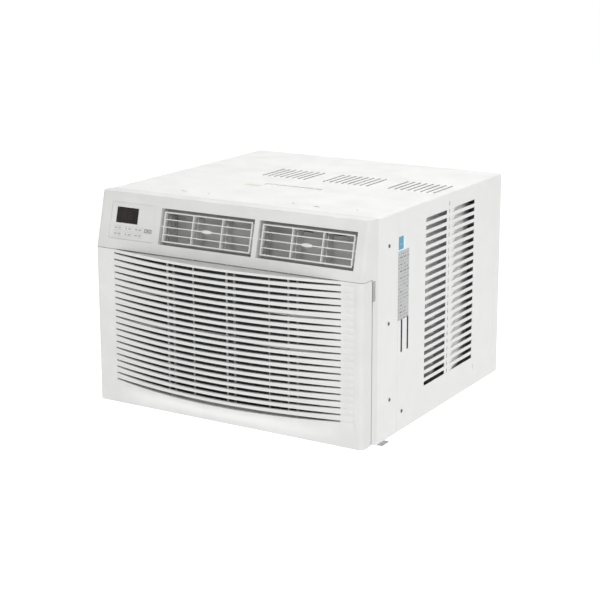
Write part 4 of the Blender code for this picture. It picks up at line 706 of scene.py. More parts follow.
# ---- Cabinet ----
@dataclass
class Cabinet:
    """Sheet steel cover with its pressed louvres, holes, labels, screws, pan and feet."""

    sheet: float = 0.0012
    top: float = 0.470
    past: float = 0.002
    fold_depths: tuple = (0.088, 0.566)
    fold_width: float = 0.0009
    fold_relief: float = 0.0004
    fold_heights: tuple = (0.002, 0.462)
    narrow_depths: tuple = (0.106, 0.133)
    narrow_width: float = 0.0078
    narrow_heights: tuple = (0.170, 0.240)
    slit_depth: float = 0.3235
    slit_width: float = 0.0035
    slot_first: float = 0.0715
    slot_pitch: float = 0.0170
    slot_height: float = 0.0093
    slot_count: int = 23
    tiny_slot: tuple = (0.461, 0.045)
    tiny_slot_size: tuple = (0.003, 0.012)
    hood_groups: tuple = ((-0.132, 8), (0.027, 8), (0.190, 8))
    hood_pitch: float = 0.0155
    hood_width: float = 0.0050
    vent_width: float = 0.0024
    hood_depths: tuple = (0.288, 0.393)
    hood_rise: float = 0.0013
    hood_lean: float = 0.70
    hood_end: float = 0.004
    oval_holes: tuple = ((-0.169, 0.045), (0.164, 0.041))
    oval_size: tuple = (0.0150, 0.0050)
    round_holes: tuple = ((-0.107, 0.048), (0.104, 0.048), (0.252, 0.052))
    hole_radius: float = 0.0026
    grip: tuple = (0.0065, 0.205)
    grip_size: tuple = (0.147, 0.020)
    grip_relief: float = 0.0028
    guide_gap: float = 0.0435
    guide_sweep: float = 0.040
    guide_heights: tuple = (0.060, 0.455)
    guide_depths: tuple = (0.205, 0.420)
    post_depths: tuple = (0.332, 0.350)
    slanted_depths: tuple = (0.350, 0.510)

    def cut_top(self, bm: bmesh.types.BMesh) -> None:
        """Add the cutting tools of the top: holes, grip and the slots under the pressed louvres.

        Args:
            bm: Mesh that takes the tools.
        """
        upward = Matrix.Rotation(math.pi / 2, 4, "X")
        for x, depth in self.oval_holes:
            place = Matrix.Translation(at(x, depth, self.top)) @ upward
            add_pill(bm, (0, 0, 0), *self.oval_size, 0.02, place)
        for x, depth in self.round_holes:
            add_rod(bm, at(x, depth, self.top - 0.010), at(x, depth, self.top + 0.010), self.hole_radius)
        x, depth = self.grip
        place = Matrix.Translation(at(x, depth, self.top)) @ upward
        add_pill(bm, (0, 0, 0), *self.grip_size, 0.02, place, 16)
        for first, count in self.hood_groups:
            for number in range(count):
                left = first + number * self.hood_pitch + self.hood_width
                add_box(bm, at(left, self.hood_depths[0] + self.hood_end, self.top - 0.005),
                        at(left + self.vent_width, self.hood_depths[1] - self.hood_end, self.top + 0.005))

    def cut_side(self, bm: bmesh.types.BMesh, side: int) -> None:
        """Add the cutting tools of one side: upright slits, the slots' middle slits and two pressed lines.

        Args:
            bm: Mesh that takes the tools.
            side: -1 for the left side, 1 for the right.
        """
        outer = side * (HALF_CABINET + self.past)
        inner = side * (HALF_CABINET - 2 * self.sheet)
        through = sorted((outer, inner))
        places = [(depth, self.narrow_width, *self.narrow_heights) for depth in self.narrow_depths]
        for row in range(self.slot_count):
            middle = self.slot_first + row * self.slot_pitch
            places.append((self.slit_depth, self.slit_width, middle - self.slot_height / 2,
                           middle + self.slot_height / 2))
        depth, height = self.tiny_slot
        width, rise = self.tiny_slot_size
        places.append((depth, width, height - rise / 2, height + rise / 2))
        for depth, width, low, high in places:
            add_box(bm, at(through[0], depth - width / 2, low), at(through[1], depth + width / 2, high))
        across = sorted((outer, side * (HALF_CABINET - self.fold_relief)))
        for depth in self.fold_depths:
            add_box(bm, at(across[0], depth - self.fold_width / 2, self.fold_heights[0]),
                    at(across[1], depth + self.fold_width / 2, self.fold_heights[1]))

    def build_skin(self) -> None:
        """Build the cover with its cuts and pressed lines."""
        skin = as_object(copy_of("cabinet_shell", whole=False), "cabinet_skin")
        bm = bmesh.new()
        self.cut_top(bm)
        for side in (-1, 1):
            self.cut_side(bm, side)
        apply_boolean(skin, as_object(bm, "cuts"))
        mount(skin, "chassis", POWDER_COAT, ("cabinet_shell",))
        keep_flats(skin)

    def build_grip_dish(self) -> None:
        """Build the shallow oval dish that fingers reach into on the top."""
        bm = bmesh.new()
        x, depth = self.grip
        below = Matrix.Translation(at(x, depth, self.top - self.sheet - self.grip_relief / 2))
        flat = below @ Matrix.Rotation(math.pi / 2, 4, "X")
        length, width = self.grip_size
        rim = 0.004
        add_pill(bm, (0, 0, 0), length + rim, width + rim, self.grip_relief, flat, 16)
        dish = as_object(bm, "grip_dish")
        bm = bmesh.new()
        hollow = Matrix.Translation((0, 0, self.sheet)) @ flat
        add_pill(bm, (0, 0, 0), length, width, self.grip_relief, hollow, 16)
        apply_boolean(dish, as_object(bm, "hollow"))
        soften(dish, 0.0012, 3)
        mount(dish, "chassis", POWDER_COAT)

    def build_hoods(self) -> None:
        """Build the three groups of long pressed louvres on the top."""
        bm = bmesh.new()
        front, back = (SEAM_Y + depth for depth in self.hood_depths)
        for first, count in self.hood_groups:
            for number in range(count):
                left = first + number * self.hood_pitch
                verts = add_box(bm, (left, front, TOP_Z - 0.0003),
                                (left + self.hood_width, back, TOP_Z + self.hood_rise))
                for vert in verts:
                    if vert.co.z > TOP_Z:
                        vert.co.y += self.hood_end if vert.co.y < (front + back) / 2 else -self.hood_end
                        if vert.co.x < left + self.hood_width / 2:
                            vert.co.x += self.hood_width * self.hood_lean
        hoods = as_object(bm, "top_louvres")
        mount(hoods, "chassis", POWDER_COAT)

    def build_air_guides(self) -> None:
        """Build the pressed air guides inside both sides, seen through the slots."""
        bm = bmesh.new()
        inner = HALF_CABINET - self.sheet
        low, high = self.guide_heights
        for side in (-1, 1):
            flat = sorted((side * (inner - self.guide_gap), side * (inner - self.guide_gap - self.sheet)))
            add_box(bm, at(flat[0], self.guide_depths[0], low), at(flat[1], self.guide_depths[1], high))
            post = sorted((side * (inner - 0.0004), side * (inner - 0.0016)))
            add_box(bm, at(post[0], self.post_depths[0], low), at(post[1], self.post_depths[1], high))
            slanted = add_box(bm, at(-self.sheet / 2, self.slanted_depths[0], low),
                              at(self.sheet / 2, self.slanted_depths[1], high))
            for vert in slanted:
                vert.co.x += side * (inner - 0.0010)
                if vert.co.y > SEAM_Y + sum(self.slanted_depths) / 2:
                    vert.co.x -= side * self.guide_sweep
        mount(as_object(bm, "side_air_guides"), "chassis", GUIDE_PP)

    def build_screw(self, side: int, node: str, name: str) -> None:
        """Build one domed screw head with a cross recess.

        Args:
            side: -1 for the left side, 1 for the right.
            node: CAD node of the screw.
            name: Name of the new head.
        """
        low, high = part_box(node)
        middle = (low + high) / 2
        seat = HALF_CABINET + 0.0001
        radius = (high.z - low.z) / 2
        along = Vector((side, 0, 0))
        centre = Vector((side * seat, middle.y, middle.z))
        rise = max(abs(low.x), abs(high.x)) - seat
        dome = [(0.0, rise)] + [(radius * math.sin(a), rise * math.cos(a) ** 0.6)
                                for a in (0.35, 0.7, 1.05, 1.35)]
        bm = bmesh.new()
        add_turned(bm, dome + [(radius, 0.0), (0.0, 0.0)], centre, along, 32)
        head = as_object(bm, name)
        deep = centre + along * rise * 0.25
        proud = centre + along * rise * 2
        for arm in (Vector((0, 1, 0)), Vector((0, 0, 1))):
            reach = arm * radius * 0.55 + (Vector((0, 1, 1)) - arm) * 0.0004
            corners = [deep - reach, proud + reach, deep + reach, proud - reach]
            lowest = [min(corner[axis] for corner in corners) for axis in range(3)]
            highest = [max(corner[axis] for corner in corners) for axis in range(3)]
            apply_boolean(head, plain_box(lowest, highest))
        mount(head, "chassis", SCREW_STEEL, (node,), 30)

    def build_screws(self) -> None:
        """Build the head of every cabinet screw."""
        for side_name, side in (("left", -1), ("right", 1)):
            for number in range(1, 5):
                self.build_screw(side, f"cabinet_screw_{side_name}_{number}", f"screw_{side_name}_{number}")

    def build_label(self, name: str, depths: tuple, heights: tuple, finish: Finish, lift: float) -> None:
        """Build one label on the right side.

        Args:
            name: Name of the piece.
            depths: Its extent behind the seam.
            heights: Its extent above the bottom edge.
            finish: Its film.
            lift: Height of its face above the paint.
        """
        bm = bmesh.new()
        add_box(bm, at(HALF_CABINET - 0.0001, depths[0], heights[0]),
                at(HALF_CABINET + lift, depths[1], heights[1]))
        upright = [edge for edge in bm.edges if abs(edge.verts[0].co.x - edge.verts[1].co.x) > lift / 2]
        bmesh.ops.bevel(bm, geom=upright, offset=0.0015, segments=4, profile=0.5, affect="EDGES", material=-1)
        mount(as_object(bm, name), "chassis", finish)

    def build_labels(self) -> None:
        """Build the plain labels of the right side and the pale one on the top."""
        self.build_label("blue_label", (0.088, 0.117), (0.386, 0.416), WHITE_FILM, 0.00025)
        self.build_label("blue_label_field", (0.0885, 0.1095), (0.3885, 0.4155), BLUE_FILM, 0.00035)
        self.build_label("blue_label_bar", (0.0925, 0.1050), (0.3985, 0.4005), WHITE_FILM, 0.00045)
        self.build_label("grey_label", (0.088, 0.135), (0.240, 0.385), GREY_FILM, 0.00025)
        bm = bmesh.new()
        verts = add_box(bm, at(-0.100, 0.174, 0.4698), at(-0.058, 0.187, 0.47025))
        round_edges(bm, verts, 0.0002, 1)
        mount(as_object(bm, "pale_label"), "chassis", PALE_FILM)

    def build_base(self) -> None:
        """Dress the base pan, brackets and rubber feet."""
        softened("base_pan", "base_pan_pressing", "chassis", POWDER_COAT, 0.0005)
        for side in ("left", "right"):
            softened(f"front_bracket_{side}", f"bracket_pressing_{side}", "chassis", ZINC,
                     0.0006)
            softened(f"rear_foot_{side}", f"rubber_foot_{side}", "chassis", RUBBER, 0.0020, 3)

    def build(self) -> None:
        """Build the whole cabinet."""
        self.build_skin()
        self.build_grip_dish()
        self.build_hoods()
        self.build_air_guides()
        self.build_screws()
        self.build_labels()
        self.build_base()


# ---- Leaning face ----
def face_matrix() -> Matrix:
    """Return the frame of the leaning face: x across, y into the panel, z up the slope.

    Returns:
        Its placement, with its origin on the split line.
    """
    top_depth = 0.031                # upper edge of the leaning face, ahead of the seam
    foot = SPLIT_Z + 0.001
    lean = math.atan2((SEAM_Y - top_depth) - PANEL_Y, TOP_Z - foot)
    return Matrix.Translation((0, PANEL_Y, foot)) @ Matrix.Rotation(-lean, 4, "X")


@dataclass
class ControlPanel:
    """Upper panel with its control fascia, display and keys."""

    display_x: tuple = (-0.285, -0.228)
    display_slope: tuple = (0.057, 0.091)
    face_depth: float = 0.0020
    digit_height: float = 0.0150
    ink: float = 0.00012
    key_columns: tuple = (-0.277, -0.250, -0.223)
    key_slopes: tuple = (0.0460, 0.0335)
    power_key: tuple = (-0.1985, 0.0457)
    power_size: tuple = (0.019, 0.0078)

    def build_bezel(self) -> None:
        """Round the moulding's edges."""
        bezel = softened("front_bezel", "panel_moulding", "chassis", PANEL_ABS, 0.0007, 3)
        bezel.modifiers["soft_edges"].angle_limit = math.radians(40)

    def build_display(self) -> None:
        """Build the acrylic window and two unlit digits just under its face."""
        face = face_matrix()
        softened("display_window", "display_acrylic", "chassis", SMOKED_ACRYLIC, 0.0006, 3)
        bm = bmesh.new()
        centre_x = sum(self.display_x) / 2
        centre_z = sum(self.display_slope) / 2
        width, height = self.digit_height * 0.55, self.digit_height
        bar, share = 0.0017, 0.82
        thickness, depth = 0.00035, self.face_depth - 0.0003
        for offset in (-0.0075, 0.0075):
            middle = centre_x + offset
            for level in (-height / 2, 0.0, height / 2):
                add_pill(bm, (middle, depth, centre_z + level), width * share, bar, thickness, face, 3)
            for x_side in (-1, 1):
                for z_side in (-1, 1):
                    upright = Matrix.Translation((middle + x_side * width / 2, depth,
                                                  centre_z + z_side * height / 4))
                    add_pill(bm, (0, 0, 0), height / 2 * share, bar, thickness,
                             face @ upright @ Matrix.Rotation(math.pi / 2, 4, "Y"), 3)
        mount(as_object(bm, "display_segments"), "chassis", SEGMENT)

    def build_keys(self) -> None:
        """Dress the fascia and build its keys with plain printed marks."""
        face = face_matrix()
        dress(PANEL_ABS, "control_fascia")
        marks = ((0.0070, 0.0016), (0.0030, 0.0030), (0.0070, 0.0016))
        for number in range(1, 7):
            node = f"key_{number}"
            softened(node, f"key_cap_{number}", body_of(node), PANEL_ABS, 0.0003, 2)
            x = self.key_columns[(number - 1) % 3]
            slope = self.key_slopes[(number - 1) // 3]
            depth = self.front_of(node, face)
            bm = bmesh.new()
            width, height = marks[(number - 1) % 3]
            add_pill(bm, (x - 0.0055, depth, slope), width, height, self.ink, face, 6)
            add_pill(bm, (x + 0.0045, depth, slope + 0.0007), 0.0080, 0.0009, self.ink, face, 4)
            add_pill(bm, (x + 0.0038, depth, slope - 0.0010), 0.0062, 0.0009, self.ink, face, 4)
            mount(as_object(bm, f"key_mark_{number}"), body_of(node), GREY_INK)
        self.build_power_key(face)

    def build_power_key(self, face: Matrix) -> None:
        """Build the power key: its cap and a printed outline round a plain bar.

        Args:
            face: Frame of the leaning face.
        """
        node = "power_key"
        softened(node, "power_key_cap", body_of(node), KEY_FILM, 0.0003, 2)
        depth = self.front_of(node, face)
        bm = bmesh.new()
        x, slope = self.power_key
        half_x, half_z = self.power_size[0] / 2 - 0.0006, self.power_size[1] / 2 - 0.0006
        line = 0.0011
        front, back = depth - self.ink / 2, depth + self.ink / 2
        for side in (-1, 1):
            level = slope + side * (half_z - line / 2)
            add_box(bm, (x - half_x, front, level - line / 2), (x + half_x, back, level + line / 2), face)
        for side in (-1, 1):
            place = x + side * (half_x - line / 2)
            add_box(bm, (place - line / 2, front, slope - half_z + line),
                    (place + line / 2, back, slope + half_z - line), face)
        add_pill(bm, (x, depth, slope), 0.0075, 0.0014, self.ink, face, 4)
        mount(as_object(bm, "power_key_mark"), body_of(node), GREY_INK)

    def front_of(self, node: str, face: Matrix) -> float:
        """Find how deep below the leaning face the ink on a node lies.

        Args:
            node: Name of the node.
            face: Frame of the leaning face.

        Returns:
            Depth of the middle of the ink, which sinks a little into the node's front.
        """
        back = face.inverted()
        return min((back @ vert.co).y for vert in frame["nodes"][node].data.vertices) - self.ink * 0.3

    def build(self) -> None:
        """Build the whole upper panel."""
        self.build_bezel()
        self.build_display()
        self.build_keys()
        dress(BOARD, "control_board")
        softened("control_box", "control_box_pressing", "chassis", ZINC, 0.0005)
        softened("run_capacitor", "capacitor_can", "chassis", CAN_ALUMINIUM, 0.0008, 3)


# ---- Air outlets ----
@dataclass
class Outlets:
    """Tilting louvre frames, steering vanes and the air guide behind them."""

    margin: float = 0.0062
    bar: float = 0.0022
    border: float = 0.0030
    depth: float = 0.0110
    front: float = 0.0030
    low: float = 0.0277
    high: float = 0.0925
    edge: float = 0.0006
    rows: int = 4
    columns: int = 3
    grip: tuple = (0.026, 0.0080, 0.0062)
    grip_sink: float = 0.0012
    pin_radius: float = 0.0019
    guide_depth: float = 0.0220
    ledge_depths: tuple = (0.0245, 0.0260)
    ledge_slopes: tuple = (0.0218, 0.0984)
    ledge_width: float = 0.0085
    duct_wall: float = 0.0034
    guide_wall: float = 0.006
    window_low: float = 0.420
    lip: float = 0.0012
    windows: tuple = ((0.136, 0.168), (0.195, 0.244), (0.272, 0.303))

    def bar_edges(self, number: int, last: int, start: float, end: float) -> tuple[float, float]:
        """Find the two edges of one of the evenly spaced bars.

        Args:
            number: Number of the bar, from 0.
            last: Number of the last bar.
            start: Where the frame starts.
            end: Where the frame ends.

        Returns:
            The bar's edges. The two outer bars are wider and lie inside the frame's outline.
        """
        middle = start + number * (end - start) / last
        width = self.bar
        if number == 0:
            width = self.border
            middle += width / 2
        if number == last:
            width = self.border
            middle -= width / 2
        return middle - width / 2, middle + width / 2

    def build_louvre(self, side: str) -> None:
        """Build one louvre frame: slim bars, wide border and an oval grip.

        Args:
            side: left or right.
        """
        face = face_matrix()
        node = f"louvre_frame_{side}"
        inside = face.inverted()
        places = [inside @ vert.co for vert in frame["nodes"][node].data.vertices]
        bar_places = [p for p in places if p.z > self.low - 0.0002 and p.y < self.front + 0.0002]
        left, right = min(p.x for p in bar_places), max(p.x for p in bar_places)
        pin_left, pin_right = min(p.x for p in places), max(p.x for p in places)
        back = self.front + self.depth
        bm = bmesh.new()
        for row in range(self.rows + 1):
            low, high = self.bar_edges(row, self.rows, self.low, self.high)
            round_edges(bm, add_box(bm, (left, self.front, low), (right, back, high)), self.edge)
        for column in range(self.columns + 1):
            low, high = self.bar_edges(column, self.columns, left, right)
            verts = add_box(bm, (low, self.front + 0.0001, self.low + 0.0001),
                            (high, back - 0.0001, self.high - 0.0001))
            round_edges(bm, verts, self.edge)
        centre = Vector(((left + right) / 2, self.front + self.grip_sink, (self.low + self.high) / 2))
        oval = bmesh.ops.create_uvsphere(bm, u_segments=28, v_segments=16, radius=0.5)["verts"]
        size = Matrix.Diagonal((self.grip[0], self.grip[2], self.grip[1], 1.0))
        bmesh.ops.transform(bm, verts=oval, matrix=Matrix.Translation(centre) @ size)
        axis_depth = self.front + self.depth / 2
        for start, end in ((pin_left, left + 0.001), (right - 0.001, pin_right)):
            add_rod(bm, (start, axis_depth, centre.z), (end, axis_depth, centre.z), self.pin_radius, 20)
        bmesh.ops.transform(bm, verts=bm.verts, matrix=face)
        mount(as_object(bm, f"louvre_{side}"), body_of(node), PANEL_ABS, (node,))
        self.build_ledge(side, (left - self.margin, right + self.margin))

    def build_ledge(self, side: str, edges: tuple) -> None:
        """Build the narrow ledge inside a collar, behind its louvre frame.

        Args:
            side: left or right.
            edges: Left and right edge of the outlet.
        """
        low, high = self.ledge_slopes
        front, back = self.ledge_depths
        ring = plain_box((edges[0] + 0.0003, front, low), (edges[1] - 0.0003, back, high),
                         f"collar_ledge_{side}")
        opening = plain_box((edges[0] + self.ledge_width, 0.0, low + self.ledge_width),
                            (edges[1] - self.ledge_width, 0.1, high - self.ledge_width))
        apply_boolean(ring, opening)
        ring.data.transform(face_matrix())
        mount(ring, "chassis", POLYPROPYLENE)

    def build_vanes(self, side: str) -> None:
        """Round the vanes and their link bar.

        Args:
            side: left or right.
        """
        for number in (1, 2):
            node = f"vane_{side}_{number}"
            softened(node, f"steering_vane_{side}_{number}", body_of(node), PANEL_ABS,
                     0.0003)
        node = f"vane_link_{side}"
        softened(node, f"steering_link_{side}", body_of(node), PANEL_ABS, 0.0003)

    def build_guide(self) -> None:
        """Build the air guide behind the outlets, with openings towards the blower."""
        low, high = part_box("air_duct")
        wall = self.duct_wall
        guide_y = SEAM_Y + self.guide_depth
        guide = plain_box((low.x + wall, guide_y, low.z + wall),
                          (high.x - wall, guide_y + self.guide_wall, high.z - wall), "air_guide")
        bm = bmesh.new()
        for left, right in self.windows:
            verts = add_box(bm, (left, guide_y - 0.01, BOTTOM_Z + self.window_low),
                            (right, guide_y + 0.02, high.z - wall - 0.008))
            round_edges(bm, verts, 0.002, 2)
        apply_boolean(guide, as_object(bm, "windows"))
        soften(guide, 0.0012, 2)
        mount(guide, "chassis", PANEL_ABS)

    def build_lip(self) -> None:
        """Build the upright lip that closes the gap between the panel and the duct's left wall."""
        low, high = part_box("air_duct")
        lip = plain_box((low.x - self.lip, SEAM_Y + 0.0005, low.z),
                        (low.x + self.lip, low.y - 0.0003, high.z), "duct_lip")
        mount(lip, "chassis", PANEL_ABS)

    def build(self) -> None:
        """Build both outlets and what lies behind them."""
        for side in ("left", "right"):
            self.build_louvre(side)
            self.build_vanes(side)
        self.build_guide()
        self.build_lip()


# ---- Intake grille ----
@dataclass
class IntakeGrille:
    """Lower panel with its bowed, slotted skin, and the filter behind it."""

    wall: float = 0.0028
    radius: float = 0.010
    bow: float = 0.041
    half_span: float = 0.282
    foot: float = 0.010
    full: float = 0.054
    across: int = 72
    rise_steps: int = 12
    slat_depth: float = 0.0055
    slot_first: float = 0.0607
    slot_pitch: float = 0.01406
    slot_count: int = 21
    slot_height: float = 0.0078
    slot_taper: float = 0.62
    slot_steps: int = 28
    slot_reach: float = 0.074
    rear: float = 0.026
    proud: float = 0.00002
    shelf: tuple = (0.3464, 0.3484)
    window: float = 0.272
    ribs: tuple = (-0.150, 0.0, 0.150)
    fine_ribs: tuple = (-0.084, 0.104)
    rib_width: float = 0.0034
    fine_rib_width: float = 0.0016
    rib_depths: tuple = (-0.0490, -0.0450)
    rib_heights: tuple = (0.008, 0.349)
    cross_bars: tuple = (0.190, 0.262)
    cross_bar: tuple = (0.004, 0.006)
    ridge: float = 0.0009
    ridge_end: float = 0.309
    slit: float = 0.0040
    slit_pitch: float = 0.0056
    shortest_slit: float = 0.003
    relief: float = 0.0021
    slack: float = 0.0006
    ear_width: float = 0.006
    eye_radius: float = 0.0053
    eye_opening: float = 53.0

    def belly(self, x: float, height: float) -> float:
        """Work out how far the skin stands out of the panel's flat front.

        Args:
            x: Place across.
            height: Height above the cabinet's bottom edge.

        Returns:
            The distance in metres.
        """
        over = max(0.0, 1 - (x / self.half_span) ** 2)
        rise = min(1.0, max(0.0, (height - self.foot) / (self.full - self.foot)))
        return self.bow * over * math.sin(rise * math.pi / 2) ** 2

    def build_tray(self) -> bpy.types.Object:
        """Build the tray: rounded outer box, hollow from behind, its front open for the skin.

        Returns:
            The tray as an object.
        """
        low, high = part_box("intake_grille")
        rear = SEAM_Y - self.rear
        bm = bmesh.new()
        self.rounded_box(bm, (-HALF_FRONT, PANEL_Y, low.z), (HALF_FRONT, rear, high.z), self.radius)
        tray = as_object(bm, "grille_moulding")
        bm = bmesh.new()
        self.rounded_box(bm, (-HALF_FRONT + self.wall, PANEL_Y + self.wall, low.z + self.wall),
                         (HALF_FRONT - self.wall, rear + 0.02, high.z - self.wall), self.radius - self.wall)
        apply_boolean(tray, as_object(bm, "hollow"))
        apply_boolean(tray, plain_box(at(-self.window, -0.08, self.full), at(self.window, 0.0, 0.36)))
        self.add_hinge(tray)
        return tray

    def add_hinge(self, tray: bpy.types.Object) -> None:
        """Relieve the tray's foot for the fixed frame and set a lug beside each fixed ear.

        Args:
            tray: The tray, which changes.
        """
        pin_low, pin_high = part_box("hinge_pin_right")
        y, z = (pin_low.y + pin_high.y) / 2, (pin_low.z + pin_high.z) / 2
        pin_radius = (pin_high.z - pin_low.z) / 2
        beyond = HALF_FRONT + self.wall
        foot = plain_box((-beyond, y + self.relief, BOTTOM_Z), (beyond, SEAM_Y, z - self.slack))
        apply_boolean(tray, foot)
        ear = pin_high.x - 2 * self.slack - self.ear_width / 2
        inner, outer = pin_low.x + self.slack, ear - self.ear_width / 2 - self.slack
        for side in (-1, 1):
            apply_boolean(tray, self.build_lug(sorted((side * inner, side * outer)), y, z), "UNION")
            slot = sorted((side * (ear - self.ear_width / 2 - self.slack),
                           side * (ear + self.ear_width / 2 + self.slack)))
            apply_boolean(tray, plain_box((slot[0], y - 2 * self.eye_radius, BOTTOM_Z), (slot[1], SEAM_Y, z)))
            bm = bmesh.new()
            add_rod(bm, (side * pin_low.x, y, z), (side * ear, y, z), pin_radius + self.slack / 2, 24)
            apply_boolean(tray, as_object(bm, "bore"))

    def build_lug(self, span: list, y: float, z: float) -> bpy.types.Object:
        """Build one hinge lug: a round eye on a stem.

        Args:
            span: Its two faces across.
            y: Place of the hinge axis.
            z: Height of the hinge axis.

        Returns:
            The lug as an object.
        """
        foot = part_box("intake_grille")[0].z + self.wall / 2
        start, sweep = math.radians(self.eye_opening - 90), math.radians(360 - 2 * self.eye_opening)
        outline = [(y + self.eye_radius * math.cos(start + sweep * step / 16),
                    z + self.eye_radius * math.sin(start + sweep * step / 16)) for step in range(17)]
        outline += [(outline[-1][0], foot), (outline[0][0], foot)]
        bm = bmesh.new()
        face = bm.faces.new([bm.verts.new((span[0], *place)) for place in outline])
        thicken(bm, [face], (span[1] - span[0], 0, 0))
        return as_object(bm, "lug")

    def rounded_box(self, bm: bmesh.types.BMesh, low: tuple, high: tuple, radius: float) -> None:
        """Add a box whose two front upright edges are rounded.

        Args:
            bm: Mesh that takes it.
            low: Lowest corner.
            high: Highest corner.
            radius: Radius of the two edges.
        """
        verts = add_box(bm, low, high)
        chosen = set(verts)
        front = min(vert.co.y for vert in verts)
        edges = [edge for edge in bm.edges if set(edge.verts) <= chosen
                 and all(abs(vert.co.y - front) < MERGE for vert in edge.verts)
                 and abs(edge.verts[0].co.z - edge.verts[1].co.z) > radius]
        bmesh.ops.bevel(bm, geom=edges, offset=radius, segments=10, profile=0.5, affect="EDGES", material=-1)

    def build_skin(self) -> bpy.types.Object:
        """Build the bowed skin as one closed slab.

        Returns:
            The slab as an object.
        """
        top = SPLIT_Z - BOTTOM_Z - 0.0005
        heights = [self.foot + (self.full - self.foot) * step / self.rise_steps
                   for step in range(self.rise_steps + 1)] + [0.20, top]
        bm = bmesh.new()
        bmesh.ops.create_grid(bm, x_segments=self.across, y_segments=len(heights) - 1, size=1.0)
        for vert in bm.verts:
            column = round((vert.co.x + 1) / 2 * self.across)
            row = round((vert.co.y + 1) / 2 * (len(heights) - 1))
            x = self.half_span * (2 * column / self.across - 1)
            depth = -PANEL_DEPTH - self.proud - self.belly(x, heights[row])
            vert.co = at(x, depth, heights[row])
        thicken(bm, list(bm.faces), (0, self.slat_depth, 0))
        return as_object(bm, "skin")

    def add_slot(self, bm: bmesh.types.BMesh, height: float) -> None:
        """Add the cutting tool of one slot: full in the middle and drawn out to fine ends.

        Args:
            bm: Mesh that takes the tool.
            height: The slot's height above the cabinet's bottom edge.
        """
        verts = bmesh.ops.create_grid(bm, x_segments=self.slot_steps, y_segments=1, size=1.0)["verts"]
        reach = self.half_span - 0.002
        for vert in verts:
            share, side = vert.co.x, vert.co.y
            half = self.slot_height / 2 * (1 - self.slot_taper * abs(share) ** 2.6)
            vert.co = at(share * reach, -PANEL_DEPTH - self.bow - 0.010, height + side * half)
        thicken(bm, list({face for vert in verts for face in vert.link_faces}), (0, self.slot_reach, 0))

    def build_shelf(self) -> bpy.types.Object:
        """Build the thin shelf that closes the bowed skin just below its upper edge.

        Returns:
            The shelf as an object.
        """
        bm = bmesh.new()
        verts = bmesh.ops.create_grid(bm, x_segments=self.across, y_segments=1, size=1.0)["verts"]
        for vert in verts:
            x = vert.co.x * (self.half_span - 0.004)
            front = -PANEL_DEPTH + 0.0005 - self.belly(x, self.full) + self.slat_depth / 2
            vert.co = at(x, front if vert.co.y < 0 else -PANEL_DEPTH + 0.0025, self.shelf[0])
        thicken(bm, list(bm.faces), (0, 0, self.shelf[1] - self.shelf[0]))
        return as_object(bm, "shelf")

    def cut_slits(self, grille: bpy.types.Object) -> None:
        """Cut a row of slits through the shelf, so that air gets in from above too.

        Args:
            grille: The grille, which changes.
        """
        bm = bmesh.new()
        reach = int(self.half_span / self.slit_pitch)
        for step in range(-reach, reach + 1):
            x = step * self.slit_pitch
            front = self.slat_depth + 0.001 - PANEL_DEPTH - self.belly(x, self.full)
            if front < -PANEL_DEPTH - self.shortest_slit:
                add_box(bm, at(x - self.slit / 2, front, self.shelf[0] - 0.001),
                        at(x + self.slit / 2, -PANEL_DEPTH, self.shelf[1] + 0.001))
        apply_boolean(grille, as_object(bm, "slits"))

    def add_ridges(self, grille: bpy.types.Object) -> None:
        """Set the fine pressed ridges that carry the slots on towards the right edge.

        Args:
            grille: The grille, which changes.
        """
        bm = bmesh.new()
        depth = -PANEL_DEPTH + 0.0002
        for row in range(self.slot_count):
            height = self.slot_first + row * self.slot_pitch
            add_rod(bm, at(self.half_span + 0.001, depth, height), at(self.ridge_end, depth, height),
                    self.ridge, 8, 0.0002)
        apply_boolean(grille, as_object(bm, "ridges"), "UNION")

    def add_ribs(self, grille: bpy.types.Object) -> None:
        """Set the upright ribs and the cross bars behind the slots.

        Args:
            grille: The grille, which changes.
        """
        bm = bmesh.new()
        bm.from_mesh(grille.data)
        front, back = self.rib_depths
        low, high = self.rib_heights
        for x in self.ribs:
            half = self.rib_width / 2
            round_edges(bm, add_box(bm, at(x - half, front, low), at(x + half, back, high)), 0.0004, 1)
        for x in self.fine_ribs:
            half = self.fine_rib_width / 2
            add_box(bm, at(x - half, front, low), at(x + half, back, high))
        reach = self.window + 0.002
        for height in self.cross_bars:
            depth, rise = self.cross_bar
            add_box(bm, at(-reach, back - depth, height - rise / 2), at(reach, back, height + rise / 2))
        bm.to_mesh(grille.data)
        bm.free()

    def build_grille(self) -> None:
        """Join tray, skin and shelf, cut the slots with tapered ends and set ridges and ribs."""
        grille = self.build_tray()
        apply_boolean(grille, self.build_skin(), "UNION")
        apply_boolean(grille, self.build_shelf(), "UNION")
        bm = bmesh.new()
        for row in range(self.slot_count):
            self.add_slot(bm, self.slot_first + row * self.slot_pitch)
        apply_boolean(grille, as_object(bm, "slots"))
        self.cut_slits(grille)
        self.add_ridges(grille)
        self.add_ribs(grille)
        soften(grille, 0.0004, 1, 35)
        mount(grille, "grille", PANEL_ABS, ("intake_grille",))

    def build(self) -> None:
        """Build the grille, the filter behind it and the hinge pins."""
        self.build_grille()
        AirFilter().build()
        for side in ("left", "right"):
            softened(f"hinge_pin_{side}", f"pin_{side}", "chassis", SCREW_STEEL, 0.0004)


